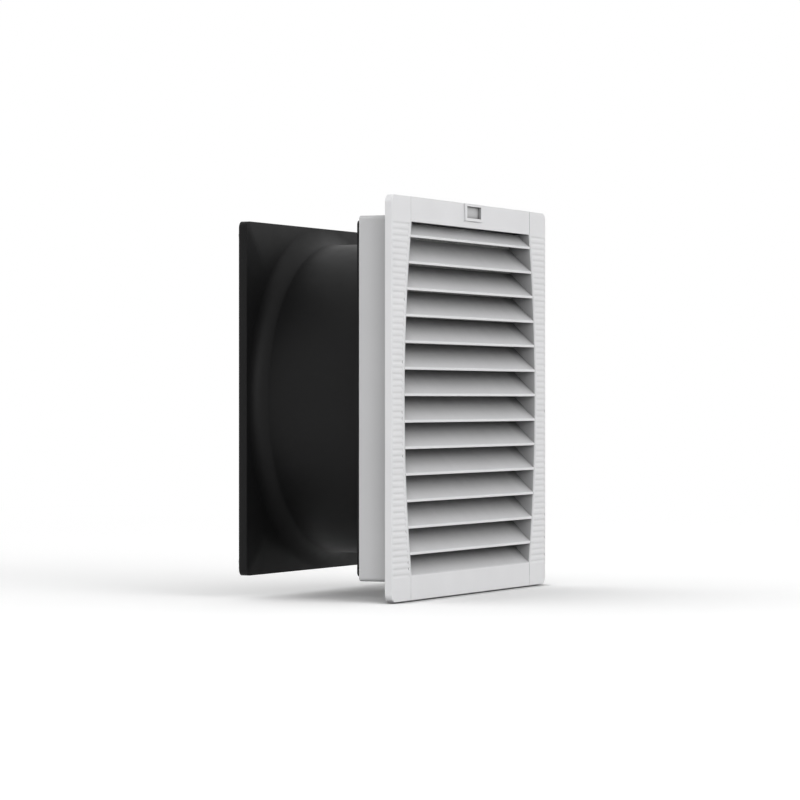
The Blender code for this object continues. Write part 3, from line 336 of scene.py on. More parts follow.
foamValues = {
    "cells": 1800,
    "patch": 90,
    "dark": (0.016, 0.016, 0.017),
    "light": (0.028, 0.028, 0.03),
    "rough": (0.75, 0.95),
    "specular": 0.3,
    "bump": 0.5,
    "depth": 0.0004,
}


def foamMaterial(name):
    # closed cells
    v = foamValues
    material, tree, shader = shaderOf(name, 0.0, v["specular"])
    place = objectPlace(tree)
    cells = tree.nodes.new("ShaderNodeTexVoronoi")
    cells.inputs["Scale"].default_value = v["cells"]
    tree.links.new(place, cells.inputs["Vector"])
    patches = noiseField(tree, place, v["patch"])
    tree.links.new(tint(tree, patches, v["dark"], v["light"]), shader.inputs["Base Color"])
    tree.links.new(mapped(tree, patches, noiseValues["gloss"], v["rough"]), shader.inputs["Roughness"])
    tree.links.new(bumped(tree, cells.outputs["Distance"], v["bump"], v["depth"]), shader.inputs["Normal"])
    return material


bandValues = {
    "distortion": 0.4,
    "patch": 120,
    "specular": 0.5,
    "bump": 0.6,
    "depth": 0.0003,
}


def bandedMaterial(name, dark, light, scale, metallic, rough):
    # fine bands stacked along Y: wound wire or laid sheets
    v = bandValues
    material, tree, shader = shaderOf(name, metallic, v["specular"])
    place = objectPlace(tree)
    bands = tree.nodes.new("ShaderNodeTexWave")
    bands.wave_type = "BANDS"
    bands.bands_direction = "Y"
    bands.inputs["Scale"].default_value = scale
    bands.inputs["Distortion"].default_value = v["distortion"]
    tree.links.new(place, bands.inputs["Vector"])
    patches = noiseField(tree, place, v["patch"])
    tree.links.new(tint(tree, bands.outputs["Fac"], dark, light), shader.inputs["Base Color"])
    tree.links.new(mapped(tree, patches, noiseValues["gloss"], rough), shader.inputs["Roughness"])
    tree.links.new(bumped(tree, bands.outputs["Fac"], v["bump"], v["depth"]), shader.inputs["Normal"])
    return material


paleValues = {
    "dark": (0.715, 0.715, 0.725),
    "light": (0.745, 0.745, 0.755),
    "reach": 0.022,
    # how far a face turns from the front before it counts as inner
    "turn": (0.4, 0.7),
    # how fast the painted shade deepens in a corner, and the same on walls that look sideways or back,
    # the depth behind which the colour turns darker, and that darker tone
    "plate": {"power": 0.8, "innerPower": 0.8, "start": -0.002, "tone": 0.8},
    # on the louvres the darker tone behind the front is painted shade in the openings between the slats
    "louvres": {"power": 1.5, "innerPower": 0.8, "start": -0.0077, "tone": 0.8},
}


def paleMaterial(name, part):
    # moulded plastic, with painted shade in its corners and a darker tone behind its front face
    plain = grainMaterial(
        name, paleValues["dark"], paleValues["light"],
        patch=14, rough=(0.42, 0.56), grain=3200, depth=0.00006, strength=0.12, specular=0.35,
    )
    tree = plain.node_tree
    power = awayFromFront(tree, part["power"], part["innerPower"])
    # painted shade in corners and recesses, its strength set by which way a face looks
    scaledColour(tree, paintedShade(tree, paleValues["reach"], power))
    depth = parts(tree, objectPlace(tree))["Y"]
    start = part["start"]
    # darker behind the front face; on the louvres this is painted shade in the openings
    scaledColour(tree, mapped(tree, depth, (start, start + gap), (1.0, part["tone"])))
    return plain


grainValues = {
    "black_coat": {
        "dark": (0.0046, 0.0046, 0.0048), "light": (0.0054, 0.0054, 0.0057),
        "patch": 22, "rough": (0.5, 0.54), "grain": 1400, "depth": 0.00012, "strength": 0.12,
        "specular": 0.17,
    },
    "black_plastic": {
        "dark": (0.006, 0.006, 0.0065), "light": (0.010, 0.010, 0.0105),
        "patch": 30, "rough": (0.5, 0.65), "grain": 2600, "depth": 0.00008, "strength": 0.15,
        "specular": 0.3,
    },
    "block_plastic": {
        "dark": (0.52, 0.52, 0.49), "light": (0.6, 0.6, 0.57),
        "patch": 60, "rough": (0.4, 0.5), "grain": 3000, "depth": 0.00006, "strength": 0.1,
    },
    "spring_steel": {
        "dark": (0.46, 0.47, 0.48), "light": (0.6, 0.61, 0.62),
        "patch": 80, "rough": (0.24, 0.38), "grain": 700, "depth": 0.00004, "strength": 0.2,
        "metallic": 1.0, "stretch": (0.06, 1.0, 1.0),
    },
    "plated_screw": {
        "dark": (0.5, 0.5, 0.49), "light": (0.66, 0.66, 0.64),
        "patch": 400, "rough": (0.28, 0.42), "grain": 5000, "depth": 0.00003, "strength": 0.25,
        "metallic": 1.0,
    },
    "bright_steel": {
        "dark": (0.5, 0.51, 0.52), "light": (0.62, 0.63, 0.64),
        "patch": 90, "rough": (0.2, 0.34), "grain": 900, "depth": 0.00003, "strength": 0.2,
        "metallic": 1.0, "stretch": (1.0, 0.05, 1.0),
    },
    "cast_metal": {
        "dark": (0.36, 0.365, 0.37), "light": (0.5, 0.505, 0.51),
        "patch": 70, "rough": (0.45, 0.62), "grain": 1500, "depth": 0.00015, "strength": 0.35,
        "metallic": 0.9,
    },
}


def makeMaterials():
    made = {name: grainMaterial(camelName(name), **values) for name, values in grainValues.items()}
    made["pale_plastic"] = paleMaterial("palePlastic", paleValues["plate"])
    made["louvre_plastic"] = paleMaterial("louvrePlastic", paleValues["louvres"])
    made["winding_wire"] = bandedMaterial(
        "windingWire", (0.22, 0.075, 0.025), (0.62, 0.26, 0.1),
        scale=900, metallic=0.85, rough=(0.3, 0.45),
    )
    made["stacked_steel"] = bandedMaterial(
        "stackedSteel", (0.3, 0.3, 0.31), (0.55, 0.55, 0.56),
        scale=1200, metallic=0.95, rough=(0.35, 0.5),
    )
    made["filter_fleece"] = fleeceMaterial("filterFleece")
    made["gasket_foam"] = foamMaterial("gasketFoam")
    return made


# Small modelling helpers

def faceOut(bm):
    bmesh.ops.recalc_face_normals(bm, faces=bm.faces)


def weld(bm, reach=merge):
    bmesh.ops.remove_doubles(bm, verts=bm.verts, dist=reach)


def linked(bm, name):
    mesh = bpy.data.meshes.new(name)
    bm.to_mesh(mesh)
    bm.free()
    piece = bpy.data.objects.new(name, mesh)
    bpy.context.scene.collection.objects.link(piece)
    return piece


def camelName(node):
    first, *rest = node.split("_")
    return first + "".join(word.capitalize() for word in rest)


def finished(bm, node, slotName, body, sharp=32, weighted=False, look=None, name=None):
    # closed, smooth up to the sharp angle, on its body and in its node's place
    weld(bm)
    faceOut(bm)
    piece = linked(bm, name or camelName(node))
    piece.data.materials.clear()
    piece.data.materials.append(materials[look or slotName])
    piece.data.shade_smooth()
    piece.data.set_sharp_from_angle(angle=math.radians(sharp))
    if weighted:  # broad faces stay flat beside their rounded edges
        even = piece.modifiers.new("evenShading", "WEIGHTED_NORMAL")
        even.keep_sharp = True
        even.weight = 100
    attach(piece, body)
    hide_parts(node)
    return piece


def bevelEdges(bm, edges, width, steps):
    bmesh.ops.bevel(
        bm, geom=list(edges), offset=width, offset_type="OFFSET", segments=steps,
        profile=0.5, affect="EDGES", material=-1, clamp_overlap=True,
    )


def sharpEdges(bm, degrees=50):
    limit = math.radians(degrees)
    return [edge for edge in bm.edges if edge.is_manifold and edge.calc_face_angle(0.0) > limit]


def softened(bm, width, steps=2):
    faceOut(bm)
    bevelEdges(bm, sharpEdges(bm), width, steps)
    return bm


def span(edge, axis):
    # how far an edge runs along an axis, 0 for X and 1 for Y
    return abs(edge.verts[0].co[axis] - edge.verts[1].co[axis])


def flattened(bm):
    # coplanar triangles become one face
    bmesh.ops.dissolve_limit(bm, angle_limit=math.radians(1), verts=bm.verts, edges=bm.edges)


def addBlock(bm, low, high):
    size = Vector(high) - Vector(low)
    middle = (Vector(high) + Vector(low)) / 2
    bmesh.ops.create_cube(bm, size=1.0, matrix=Matrix.Translation(middle) @ Matrix.Diagonal((*size, 1.0)))


def block(low, high):
    bm = bmesh.new()
    addBlock(bm, low, high)
    return bm


def addRod(bm, start, end, radius, steps):
    start = Vector(start)
    end = Vector(end)
    turn = (end - start).to_track_quat("Z", "Y").to_matrix().to_4x4()
    bmesh.ops.create_cone(
        bm, cap_ends=True, segments=steps, radius1=radius, radius2=radius,
        depth=(end - start).length, matrix=Matrix.Translation((start + end) / 2) @ turn,
    )


def rod(start, end, radius, steps):
    bm = bmesh.new()
    addRod(bm, start, end, radius, steps)
    return bm


def squareBlock(half, corner, low, high, steps=10):
    # a square slab across Y with rounded corners
    bm = block((-half, low, -half), (half, high, half))
    along = [edge for edge in bm.edges if span(edge, 1) > gap]
    if corner > 0:
        bevelEdges(bm, along, corner, steps)
    return bm


def pulledAlong(bm, geom, shift):
    # pulls faces along, leaving walls behind them, and returns what was pulled
    pulled = bmesh.ops.extrude_face_region(bm, geom=geom)["geom"]
    moved = [item for item in pulled if isinstance(item, bmesh.types.BMVert)]
    bmesh.ops.translate(bm, vec=shift, verts=moved)
    return pulled


def outlineBlock(points, low, high, axis="Y"):
    # a closed outline pulled along Y (points are x, z) or along X (points are y, z)
    bm = bmesh.new()
    if axis == "Y":
        verts = [bm.verts.new((u, low, v)) for u, v in points]
        shift = (0, high - low, 0)
    else:
        verts = [bm.verts.new((low, u, v)) for u, v in points]
        shift = (high - low, 0, 0)
    pulledAlong(bm, [bm.faces.new(verts)], shift)
    faceOut(bm)
    return bm


def arcPoints(centre, radius, start, end, steps):
    turns = [math.radians(start + (end - start) * step / steps) for step in range(steps + 1)]
    return [(centre[0] + radius * math.cos(turn), centre[1] + radius * math.sin(turn)) for turn in turns]


def turned(profile, steps, closed=True):
    # points of radius and Y, spun about the Y axis
    bm = bmesh.new()
    verts = [bm.verts.new((radius, y, 0.0)) for radius, y in profile]
    pairs = list(zip(verts, verts[1:])) + ([(verts[-1], verts[0])] if closed else [])
    edges = [bm.edges.new(pair) for pair in pairs]
    bmesh.ops.spin(
        bm, geom=verts + edges, cent=(0, 0, 0), axis=(0, 1, 0),
        angle=2 * math.pi, steps=steps, use_merge=True,
    )
    weld(bm)
    faceOut(bm)
    return bm


def poured(target, source):
    # adds one shape to another and frees it
    mesh = bpy.data.meshes.new("pour")
    source.to_mesh(mesh)
    source.free()
    target.from_mesh(mesh)
    bpy.data.meshes.remove(mesh)


def carved(bm, steps):
    # joins, cuts or intersects shapes one after another
    faceOut(bm)
    body = linked(bm, "carveBody")
    tools = []
    for operation, shape in steps:
        faceOut(shape)
        tool = linked(shape, "carveTool")
        modifier = body.modifiers.new("carve", "BOOLEAN")
        modifier.operation = operation
        modifier.solver = "EXACT"
        modifier.object = tool
        tools.append(tool)
    view = bpy.context.evaluated_depsgraph_get()
    result = bmesh.new()
    mesh = bpy.data.meshes.new_from_object(body.evaluated_get(view))
    result.from_mesh(mesh)
    bpy.data.meshes.remove(mesh)
    for item in [body] + tools:
        bpy.data.objects.remove(item, do_unlink=True)
    weld(result)
    return result


def softCopy(node, slotName, width):
    # the CAD solid with its triangles merged and its edges rounded
    bm = bmesh.new()
    bm.from_mesh(nodes[node].data)
    weld(bm, 2 * merge)
    flattened(bm)
    softened(bm, width)
    finished(bm, node, slotName, "root")


# Front frame: plate, ribbed rails and sleeve

fieldValues = {
    "halfHeight": 0.140,
    "halfMiddle": 0.1358,
    "halfEnd": 0.12225,
    "bowSteps": 40,
    "cheek": 0.0012,
    "seam": 0.0005,
    "seatHalf": 0.12395,
}

frameValues = {
    "half": 0.160,
    "front": -0.008,
    "rear": -0.002,
    "corner": 0.0065,
    "cornerSteps": 12,
    "rim": 0.0008,
    "rimSteps": 4,
    "rimSoft": 0.00025,
    "over": 0.003,
    "past": 0.17,
    "openingHalf": 0.141,
    "seat": -0.0047,
    "hingeSeat": -0.1535,
    "sleeveHalf": 0.1445,
    "sleeveCorner": 0.003,
    "sleeveEnd": 0.02755,
    "cavityHalf": 0.142,
    "cavityCorner": 0.0005,
    "cavitySteps": 3,
    "bossFront": 0.0229,
    "bossChamfer": 0.030,
    "rearWall": 0.0253,
    "duct": 0.133,
    "ductSteps": 120,
    "ribPitch": 0.00495,
    "ribHalf": 0.0019,
    "ribDepth": 0.00038,
    "ribStart": 0.00002,
    "ribOver": 0.001,
    "ribSteps": 12,
    "ribOuter": 0.1588,
    "ribInner": 0.0020,
    "ribTaper": 0.0012,
    "ribRows": 28,
    "ribDrop": 0.00095,
    "windowX": 0.075,
    "windowHalf": 0.0103,
    "windowFront": 0.0027,
    "windowRear": 0.0239,
    "hinge": (-0.005, -0.157),
    "pin": 0.0019,
    "pinEnd": 0.12875,
    "pinSteps": 24,
    "latchRoom": ((-0.0175, -0.0065, 0.1455), (0.0175, -0.003, 0.1572)),
    "strike": ((-0.0085, -0.0062, 0.1572), (0.0085, -0.0036, 0.160)),
    "boltSlot": ((-0.0075, -0.0051, 0.1561), (0.0075, -0.003, 0.1586)),
}


def bowHalf(z):
    # half the louvre field's width at a height
    f = fieldValues
    rise = f["halfMiddle"] - f["halfEnd"]
    radius = (rise ** 2 + f["halfHeight"] ** 2) / (2 * rise)
    return f["halfMiddle"] - radius + math.sqrt(radius ** 2 - z ** 2)


def bowHeights(halfHeight):
    count = fieldValues["bowSteps"]
    return [halfHeight * (2 * step / count - 1) for step in range(count + 1)]


def bowedOutline(extra, halfHeight):
    right = [(bowHalf(z) + extra, z) for z in bowHeights(halfHeight)]
    return right + [(-x, z) for x, z in reversed(right)]


def ribCutters():
    # round-bottomed grooves across both rails, each tapered shut at both ends
    v = frameValues
    bm = bmesh.new()
    outside = v["front"] - v["ribOver"]
    shares = [2 * step / v["ribSteps"] - 1 for step in range(v["ribSteps"] + 1)]
    depths = [v["ribDepth"] * (1 + math.cos(math.pi * share)) / 2 for share in shares]
    # both rims lie just before the plate
    depths[0] = -v["ribStart"]
    depths[-1] = -v["ribStart"]
    for row in range(-v["ribRows"], v["ribRows"] + 1):
        z = row * v["ribPitch"] - v["ribDrop"]
        inner = bowHalf(z) + fieldValues["cheek"] + fieldValues["seam"] + v["ribInner"]
        wave = [(v["front"] + depth, z + share * v["ribHalf"]) for share, depth in zip(shares, depths)]
        outline = wave + [(outside, wave[-1][1]), (outside, wave[0][1])]
        for side in (-1, 1):
            shape = outlineBlock(outline, inner, v["ribOuter"], "X")
            for vert in shape.verts:
                # both ends run out along a slope
                if vert.co.y > v["front"]:
                    slope = v["ribTaper"] * (vert.co.y - v["front"]) / v["ribDepth"]
                    vert.co.x += slope if vert.co.x < inner + gap else -slope
                vert.co.x *= side
            faceOut(shape)
            poured(bm, shape)
    return bm


def frontFrame():
    v = frameValues
    over = v["over"]
    past = v["past"]
    plate = squareBlock(v["half"], v["corner"], v["front"], v["rear"], v["cornerSteps"])
    rim = [edge for edge in plate.edges if all(vert.co.y < v["front"] + gap for vert in edge.verts)]
    bevelEdges(plate, rim, v["rim"], v["rimSteps"])
    field = bowedOutline(fieldValues["cheek"] + fieldValues["seam"], v["openingHalf"])
    seat = fieldValues["seatHalf"]
    chamfer = v["bossChamfer"] * math.sqrt(2)
    mitre = squareBlock(v["cavityHalf"], chamfer, v["bossFront"] - over, v["rearWall"], 1)
    cavity = squareBlock(v["cavityHalf"], v["cavityCorner"], v["rear"], v["bossFront"], v["cavitySteps"])
    duct = rod((0, v["rearWall"] - over, 0), (0, v["sleeveEnd"] + over, 0), v["duct"], v["ductSteps"])
    windows = bmesh.new()
    for x in (-v["windowX"], v["windowX"]):
        for z in (-v["sleeveHalf"], v["sleeveHalf"]):
            low = (x - v["windowHalf"], v["windowFront"], z - over)
            addBlock(windows, low, (x + v["windowHalf"], v["windowRear"], z + over))
    pins = bmesh.new()
    for side in (-1, 1):
        start = (side * (seat - over), *v["hinge"])
        addRod(pins, start, (side * v["pinEnd"], *v["hinge"]), v["pin"], v["pinSteps"])
    bm = carved(plate, [
        ("UNION", squareBlock(v["sleeveHalf"], v["sleeveCorner"], v["rear"] - over, v["sleeveEnd"])),
        ("DIFFERENCE", outlineBlock(field, v["front"] - over, v["rear"] + over)),
        ("DIFFERENCE", cavity),
        ("DIFFERENCE", mitre),
        ("DIFFERENCE", duct),
        ("DIFFERENCE", block((-seat, v["front"] - over, -past), (seat, v["seat"], past))),
        ("DIFFERENCE", block((-seat, v["front"] - over, -past), (seat, v["rear"] + over, v["hingeSeat"]))),
        ("DIFFERENCE", block(*v["latchRoom"])),
        ("UNION", block(*v["strike"])),
        ("DIFFERENCE", block(*v["boltSlot"])),
        ("DIFFERENCE", pins),
        ("DIFFERENCE", windows),
    ])
    # the seam's edges catch a little light
    faceOut(bm)
    level = [
        edge for edge in sharpEdges(bm, degrees=70)
        if all(abs(vert.co.y - v["front"]) < planar for vert in edge.verts)
    ]
    bevelEdges(bm, level, v["rimSoft"], 2)
    bm = carved(bm, [("DIFFERENCE", ribCutters())])
    finished(bm, "front_frame", "pale_plastic", "root", sharp=40, weighted=True)
    print("front frame: plate, grooves, seat and sleeve")


# Louvre cover: bars, cheeks and sloping slats

coverValues = {
    "front": -0.008,
    "skin": 0.003,
    "depth": 0.0194,
    "half": 0.12345,
    "top": 0.160,
    "bottom": -0.1555,
    "pitch": 0.02097,
    "firstSlat": 0.01232,
    "slats": 13,
    "blank": 1.0,
    "lip": 0.0018,
    "thick": 0.0026,
    "lipSoft": 0.00035,
    "lipSteps": 3,
    "edgeSoft": 0.0003,
    "rim": 0.0008,
    "rimSteps": 4,
    "hingeRadius": 0.003,
    "hingeSteps": 12,
    "knee": -0.151,
    "pinRadius": 0.0016,
    "pinLength": 0.005,
    "pinSteps": 24,
    "window": ((-0.0156, -0.0095, 0.14595), (0.0156, -0.0035, 0.159)),
    "notch": ((-0.0088, -0.0065, 0.1569), (0.0088, -0.0035, 0.1615)),
}


def drawnBack(bm, faces, distance):
    edges = list({edge for face in faces for edge in face.edges})
    pulled = pulledAlong(bm, faces + edges, (0, distance, 0))
    return [item for item in pulled if isinstance(item, bmesh.types.BMFace)]


def coverShell():
    # the two bars joined by the thin bowed cheeks, which run back along the slats' ends
    v = coverValues
    f = fieldValues
    bm = bmesh.new()
    heights = bowHeights(f["halfHeight"])
    rows = {}
    for side in (-1, 1):
        inner = [bm.verts.new((side * bowHalf(z), v["front"], z)) for z in heights]
        outer = [bm.verts.new((side * (bowHalf(z) + f["cheek"]), v["front"], z)) for z in heights]
        for step in range(f["bowSteps"]):
            bm.faces.new((inner[step], outer[step], outer[step + 1], inner[step + 1]))
        rows[side] = (inner, outer)
    for index, level in ((-1, v["top"]), (0, v["bottom"])):
        right, left = [bm.verts.new((side * v["half"], v["front"], level)) for side in (1, -1)]
        ends = [rows[side][line][index] for side, line in ((-1, 1), (-1, 0), (1, 0), (1, 1))]
        bm.faces.new((right, left, *ends))
    backs = drawnBack(bm, bm.faces[:], v["skin"])
    drawnBack(bm, [face for face in backs if len(face.verts) == 4], v["depth"] - v["skin"])
    faceOut(bm)
    return bm


def slatShape(profile):
    # one blade with its ends set inside the bowed cheeks
    v = coverValues
    bm = outlineBlock(profile, -v["blank"], v["blank"], "X")
    rounded = [
        edge for edge in bm.edges
        if span(edge, 0) > v["blank"] and edge.verts[0].co.y < v["front"] + gap
    ]
    bevelEdges(bm, rounded, v["lipSoft"], v["lipSteps"])
    for vert in bm.verts:
        z = max(vert.co.z, -fieldValues["halfHeight"])
        vert.co.x = math.copysign(bowHalf(z) + fieldValues["cheek"] / 2, vert.co.x)
    return bm


def slatProfile(bottom):
    v = coverValues
    front = v["front"]
    top = bottom + v["lip"]
    depth = min(v["depth"], fieldValues["halfHeight"] - fieldValues["seam"] - top)
    return [
        (front, bottom), (front, top), (front + depth, top + depth),
        (front + depth, top + depth - v["thick"]), (front + v["thick"] - v["lip"], bottom),
    ]


def sillProfile():
    v = coverValues
    front = v["front"]
    bar = -fieldValues["halfHeight"]
    back = front + v["depth"]
    return [
        (front + v["thick"], bar - v["skin"] / 2), (front + v["edgeSoft"], bar - v["skin"] / 2),
        (front + v["edgeSoft"], bar + v["edgeSoft"]), (back, bar + v["depth"]),
        (back, bar + v["depth"] - v["thick"]), (front + v["thick"], bar),
    ]


def louvreCover():
    v = coverValues
    shell = softened(coverShell(), v["edgeSoft"])
    hinge = frameValues["hinge"]
    knuckle = arcPoints(hinge, v["hingeRadius"], 90, -90, v["hingeSteps"])
    front = v["front"]
    nose = arcPoints((front + v["rim"], -v["top"] + v["rim"]), v["rim"], 270, 180, v["rimSteps"])
    edge = nose + [(front, v["knee"]), (front + v["skin"], v["knee"])] + knuckle
    bm = carved(shell, [
        ("UNION", outlineBlock(edge, -v["half"], v["half"], "X")),
        ("DIFFERENCE", block(*v["window"])),
        ("DIFFERENCE", block(*v["notch"])),
    ])
    poured(bm, slatShape(sillProfile()))
    for index in range(v["slats"]):
        bottom = fieldValues["halfHeight"] - v["firstSlat"] - index * v["pitch"]
        poured(bm, slatShape(slatProfile(bottom)))
    for side in (-1, 1):
        start = (side * (v["half"] - v["pinLength"]), *hinge)
        end = (side * (v["half"] + v["pinLength"]), *hinge)
        addRod(bm, start, end, v["pinRadius"], v["pinSteps"])
    finished(bm, "louvre_cover", "pale_plastic", "cover", sharp=40, weighted=True, look="louvre_plastic")
    print("louvre cover: bars, cheeks and", v["slats"], "slats")


# Latch: thumb grip with its shallow pocket, and the bolt behind

latchValues = {
    "rim": ((-0.01775, -0.0095, 0.14565), (0.01775, -0.0083, 0.1598)),
    "body": ((-0.0153, -0.00875, 0.14765), (0.0153, -0.00605, 0.1587)),
    "pocket": ((-0.0143, -0.011, 0.14805), (0.0143, -0.00705, 0.1577)),
    "neck": ((-0.012, -0.00655, 0.14875), (0.012, -0.0044, 0.15315)),
    "back": ((-0.017, -0.0047, 0.14845), (0.017, -0.0033, 0.15345)),
    "bolt": ((-0.007, -0.0044, 0.15245), (0.007, -0.0033, 0.1581)),
    "soft": 0.0003,
    "softSteps": 3,
}


def coverLatch():
    v = latchValues
    bm = carved(block(*v["rim"]), [
        ("UNION", block(*v["body"])),
        ("DIFFERENCE", block(*v["pocket"])),
        *(("UNION", block(*v[name])) for name in ("neck", "back", "bolt")),
    ])
    flattened(bm)
    softened(bm, v["soft"], v["softSteps"])
    finished(bm, "cover_latch", "pale_plastic", "latch", look="louvre_plastic")
    print("cover latch")


# Filter mat and gasket

matValues = {
    "half": 0.1415,
    "front": 0.0118,
    "rear": 0.0226,
    "corner": 0.004,
    "cornerSteps": 4,
    "soft": 0.0022,
    "softSteps": 3,
    "cells": 64,
    "puff": 0.0004,
    "lumps": 160,
    "octaves": 3,
    "waves": 24,
}


def filterMat():
    v = matValues
    bm = squareBlock(v["half"], v["corner"], v["front"], v["rear"], v["cornerSteps"])
    bevelEdges(bm, sharpEdges(bm), v["soft"], v["softSteps"])
    for index in range(1, v["cells"]):
        level = -v["half"] + 2 * v["half"] * index / v["cells"]
        for normal in ((1, 0, 0), (0, 0, 1)):
            place = tuple(level * part for part in normal)
            geom = bm.verts[:] + bm.edges[:] + bm.faces[:]
            bmesh.ops.bisect_plane(bm, geom=geom, dist=merge, plane_co=place, plane_no=normal)
    faceOut(bm)
    bm.normal_update()
    for vert in bm.verts:
        lump = noise.fractal(vert.co * v["lumps"], 1.0, 2.0, v["octaves"])
        lump += noise.noise(vert.co * v["waves"])
        vert.co -= vert.normal * v["puff"] * (0.5 + 0.5 * lump)
    mat = finished(bm, "filter_mat", "filter_fleece", "root", sharp=60)
    print("filter mat")


gasketValues = {
    "outer": 0.153,
    "inner": 0.148,
    "outerCorner": 0.0065,
    "innerCorner": 0.004,
    "cornerSteps": 8,
    "front": -0.0017,
    "rear": 0.0,
    "soft": 0.0005,
    "softSteps": 3,
}


def wallGasket():
    v = gasketValues
    steps = v["cornerSteps"]
    ring = carved(squareBlock(v["outer"], v["outerCorner"], v["front"], v["rear"], steps), [
        ("DIFFERENCE", squareBlock(v["inner"], v["innerCorner"], v["front"] - gap, v["rear"] + gap, steps)),
    ])
    finished(softened(ring, v["soft"], v["softSteps"]), "wall_gasket", "gasket_foam", "root")
    print("wall gasket")


# Snap clips: bent spring strip with a stub at each end of its root

clipValues = {
    "pivotY": 0.0225,
    "pivotZ": 0.14325,
    "offset": 0.075,
    "half": 0.010,
    "root": 0.0011,
    "rootSteps": 8,
    "outline": (
        (-0.0173, 0.0049), (-0.0195, 0.00255), (-0.0195, -0.0004),
        (-0.0183, -0.0004), (-0.0183, 0.00225), (-0.0167, 0.00334),
    ),
    "bend": 0.0005,
    "bendSteps": 4,
    "edge": 0.0001,
    "edgeSteps": 2,
    "stub": 0.0006,
    "stubLength": 0.002,
    "stubSteps": 16,
}


def snapClips():
    v = clipValues
    places = [(x, side) for side in (1, -1) for x in (-v["offset"], v["offset"])]
    for number, (x, side) in enumerate(places, 1):
        outline = arcPoints((0, 0), v["root"], -90, 90, v["rootSteps"]) + list(v["outline"])
        bm = outlineBlock(outline, -v["half"], v["half"], "X")
        folds = [
            edge for edge in sharpEdges(bm, degrees=20)
            if span(edge, 0) > v["half"] and edge.verts[0].co.y < -v["root"] * 2
        ]
        bevelEdges(bm, folds, v["bend"], v["bendSteps"])
        bevelEdges(bm, sharpEdges(bm, degrees=60), v["edge"], v["edgeSteps"])
        reach = v["half"] + v["stubLength"]
        addRod(bm, (-reach, 0, 0), (reach, 0, 0), v["stub"], v["stubSteps"])
        turn = Matrix.Identity(4) if side > 0 else Matrix.Rotation(math.pi, 4, "Y")
        bm.transform(Matrix.Translation((x, v["pivotY"], side * v["pivotZ"])) @ turn)
        finished(bm, f"snap_clip_{number}", "spring_steel", f"clip_{number}")
    print("snap clips")


# Fan housing: front plate, round barrel and rear flange

housingValues = {
    "front": 0.02785,
    "plate": 0.0031,
    "plateHalf": 0.141,
    "plateCorner": 0.0035,
    "plateSteps": 4,
    "barrel": 0.12845,
    "wall": 0.0025,
    "frontFillet": 0.009,
    "frontFilletSteps": 10,
    "rearFillet": 0.0146,
    "rearFilletSteps": 14,
    "crease": 9.0,
    "frontBell": 0.007,
    "frontBellSteps": 8,
    "rearBell": 0.011,
    "rearBellSteps": 10,
    "rear": 0.13514,
    "flange": 0.007,
    "flangeHalf": 0.14235,
    "flangeCorner": 0.0055,
    "flangeSteps": 8,
    "disc": 0.26,
    "steps": 192,
    "over": 0.01,
    "blank": 1.2,
    "blankFront": 0.002,
    "blankRear": 0.0015,
    "soft": 0.0007,
    "softSteps": 3,
}


def fanHousing():
    v = housingValues
    inner = v["barrel"] - v["wall"]
    plateRear = v["front"] + v["plate"]
    flangeFront = v["rear"] - v["flange"]
    fillet = v["frontFillet"]
    over = v["over"]
    # the rear fillet meets the barrel in a faint crease
    kink = math.radians(v["crease"])
    root = (v["barrel"] + v["rearFillet"] * math.cos(kink), flangeFront - v["rearFillet"])
    creaseLevel = root[1] + v["rearFillet"] * math.sin(kink)

    def bend(name, centre, start, end):
        return arcPoints(centre, v[name], start, end, v[name + "Steps"])

    profile = (
        [(v["disc"], v["front"])]
        + bend("frontBell", (inner + v["frontBell"], v["front"] + v["frontBell"]), 270, 180)
        + bend("rearBell", (inner + v["rearBell"], v["rear"] - v["rearBell"]), 180, 90)
        + [(v["disc"], v["rear"]), (v["disc"], flangeFront)]
        + bend("rearFillet", root, 90, 180 - v["crease"])
        + [(v["barrel"], creaseLevel - gap * 2)]
        + bend("frontFillet", (v["barrel"] + fillet, plateRear + fillet), 180, 270)
        + [(v["disc"], plateRear)]
    )
    low = v["front"] - v["blankFront"]
    blank = squareBlock(v["disc"] * v["blank"], 0.0, low, plateRear + v["blankRear"])
    low = v["front"] - over
    plate = squareBlock(v["plateHalf"], v["plateCorner"], low, plateRear + over, v["plateSteps"])
    flange = squareBlock(v["flangeHalf"], v["flangeCorner"], low, v["rear"] + over, v["flangeSteps"])
    margin = carved(blank, [("DIFFERENCE", plate)])
    bm = carved(turned(profile, v["steps"]), [("INTERSECT", flange), ("DIFFERENCE", margin)])
    faceOut(bm)

    def onRim(vert):
        # on the outline of the flange or of the front plate
        reach = max(abs(vert.co.x), abs(vert.co.z))
        if vert.co.y < plateRear + gap:
            return reach > v["plateHalf"] - v["plateCorner"] - gap
        return reach > v["flangeHalf"] - v["flangeCorner"] - gap

    rims = [
        edge for edge in sharpEdges(bm, degrees=75)
        if span(edge, 1) < planar and all(onRim(vert) for vert in edge.verts)
    ]
    bevelEdges(bm, rims, v["soft"], v["softSteps"])
    finished(bm, "fan_housing", "black_coat", "root")
    print("fan housing")


# Finger guard: wire rings on four arms, and the motor's plate

guardValues = {
    "front": 0.13544,
    "arm": 0.002,
    "armHalf": 0.006,
    "armReach": 0.18576,
    "armRoot": 0.047,
    "armSteps": 12,
    "plate": 0.0588,
    "plateThick": 0.0025,
    "plateSteps": 96,
    "bead": 0.0006,
    "beadInner": 0.0495,
    "beadOuter": 0.0555,
    "wire": 0.00118,
    "wireSides": 12,
    "rings": 8,
    "outer": 0.1290,
    "pitch": 0.00893,
    "ringSteps": 120,
    "soft": 0.0003,
}


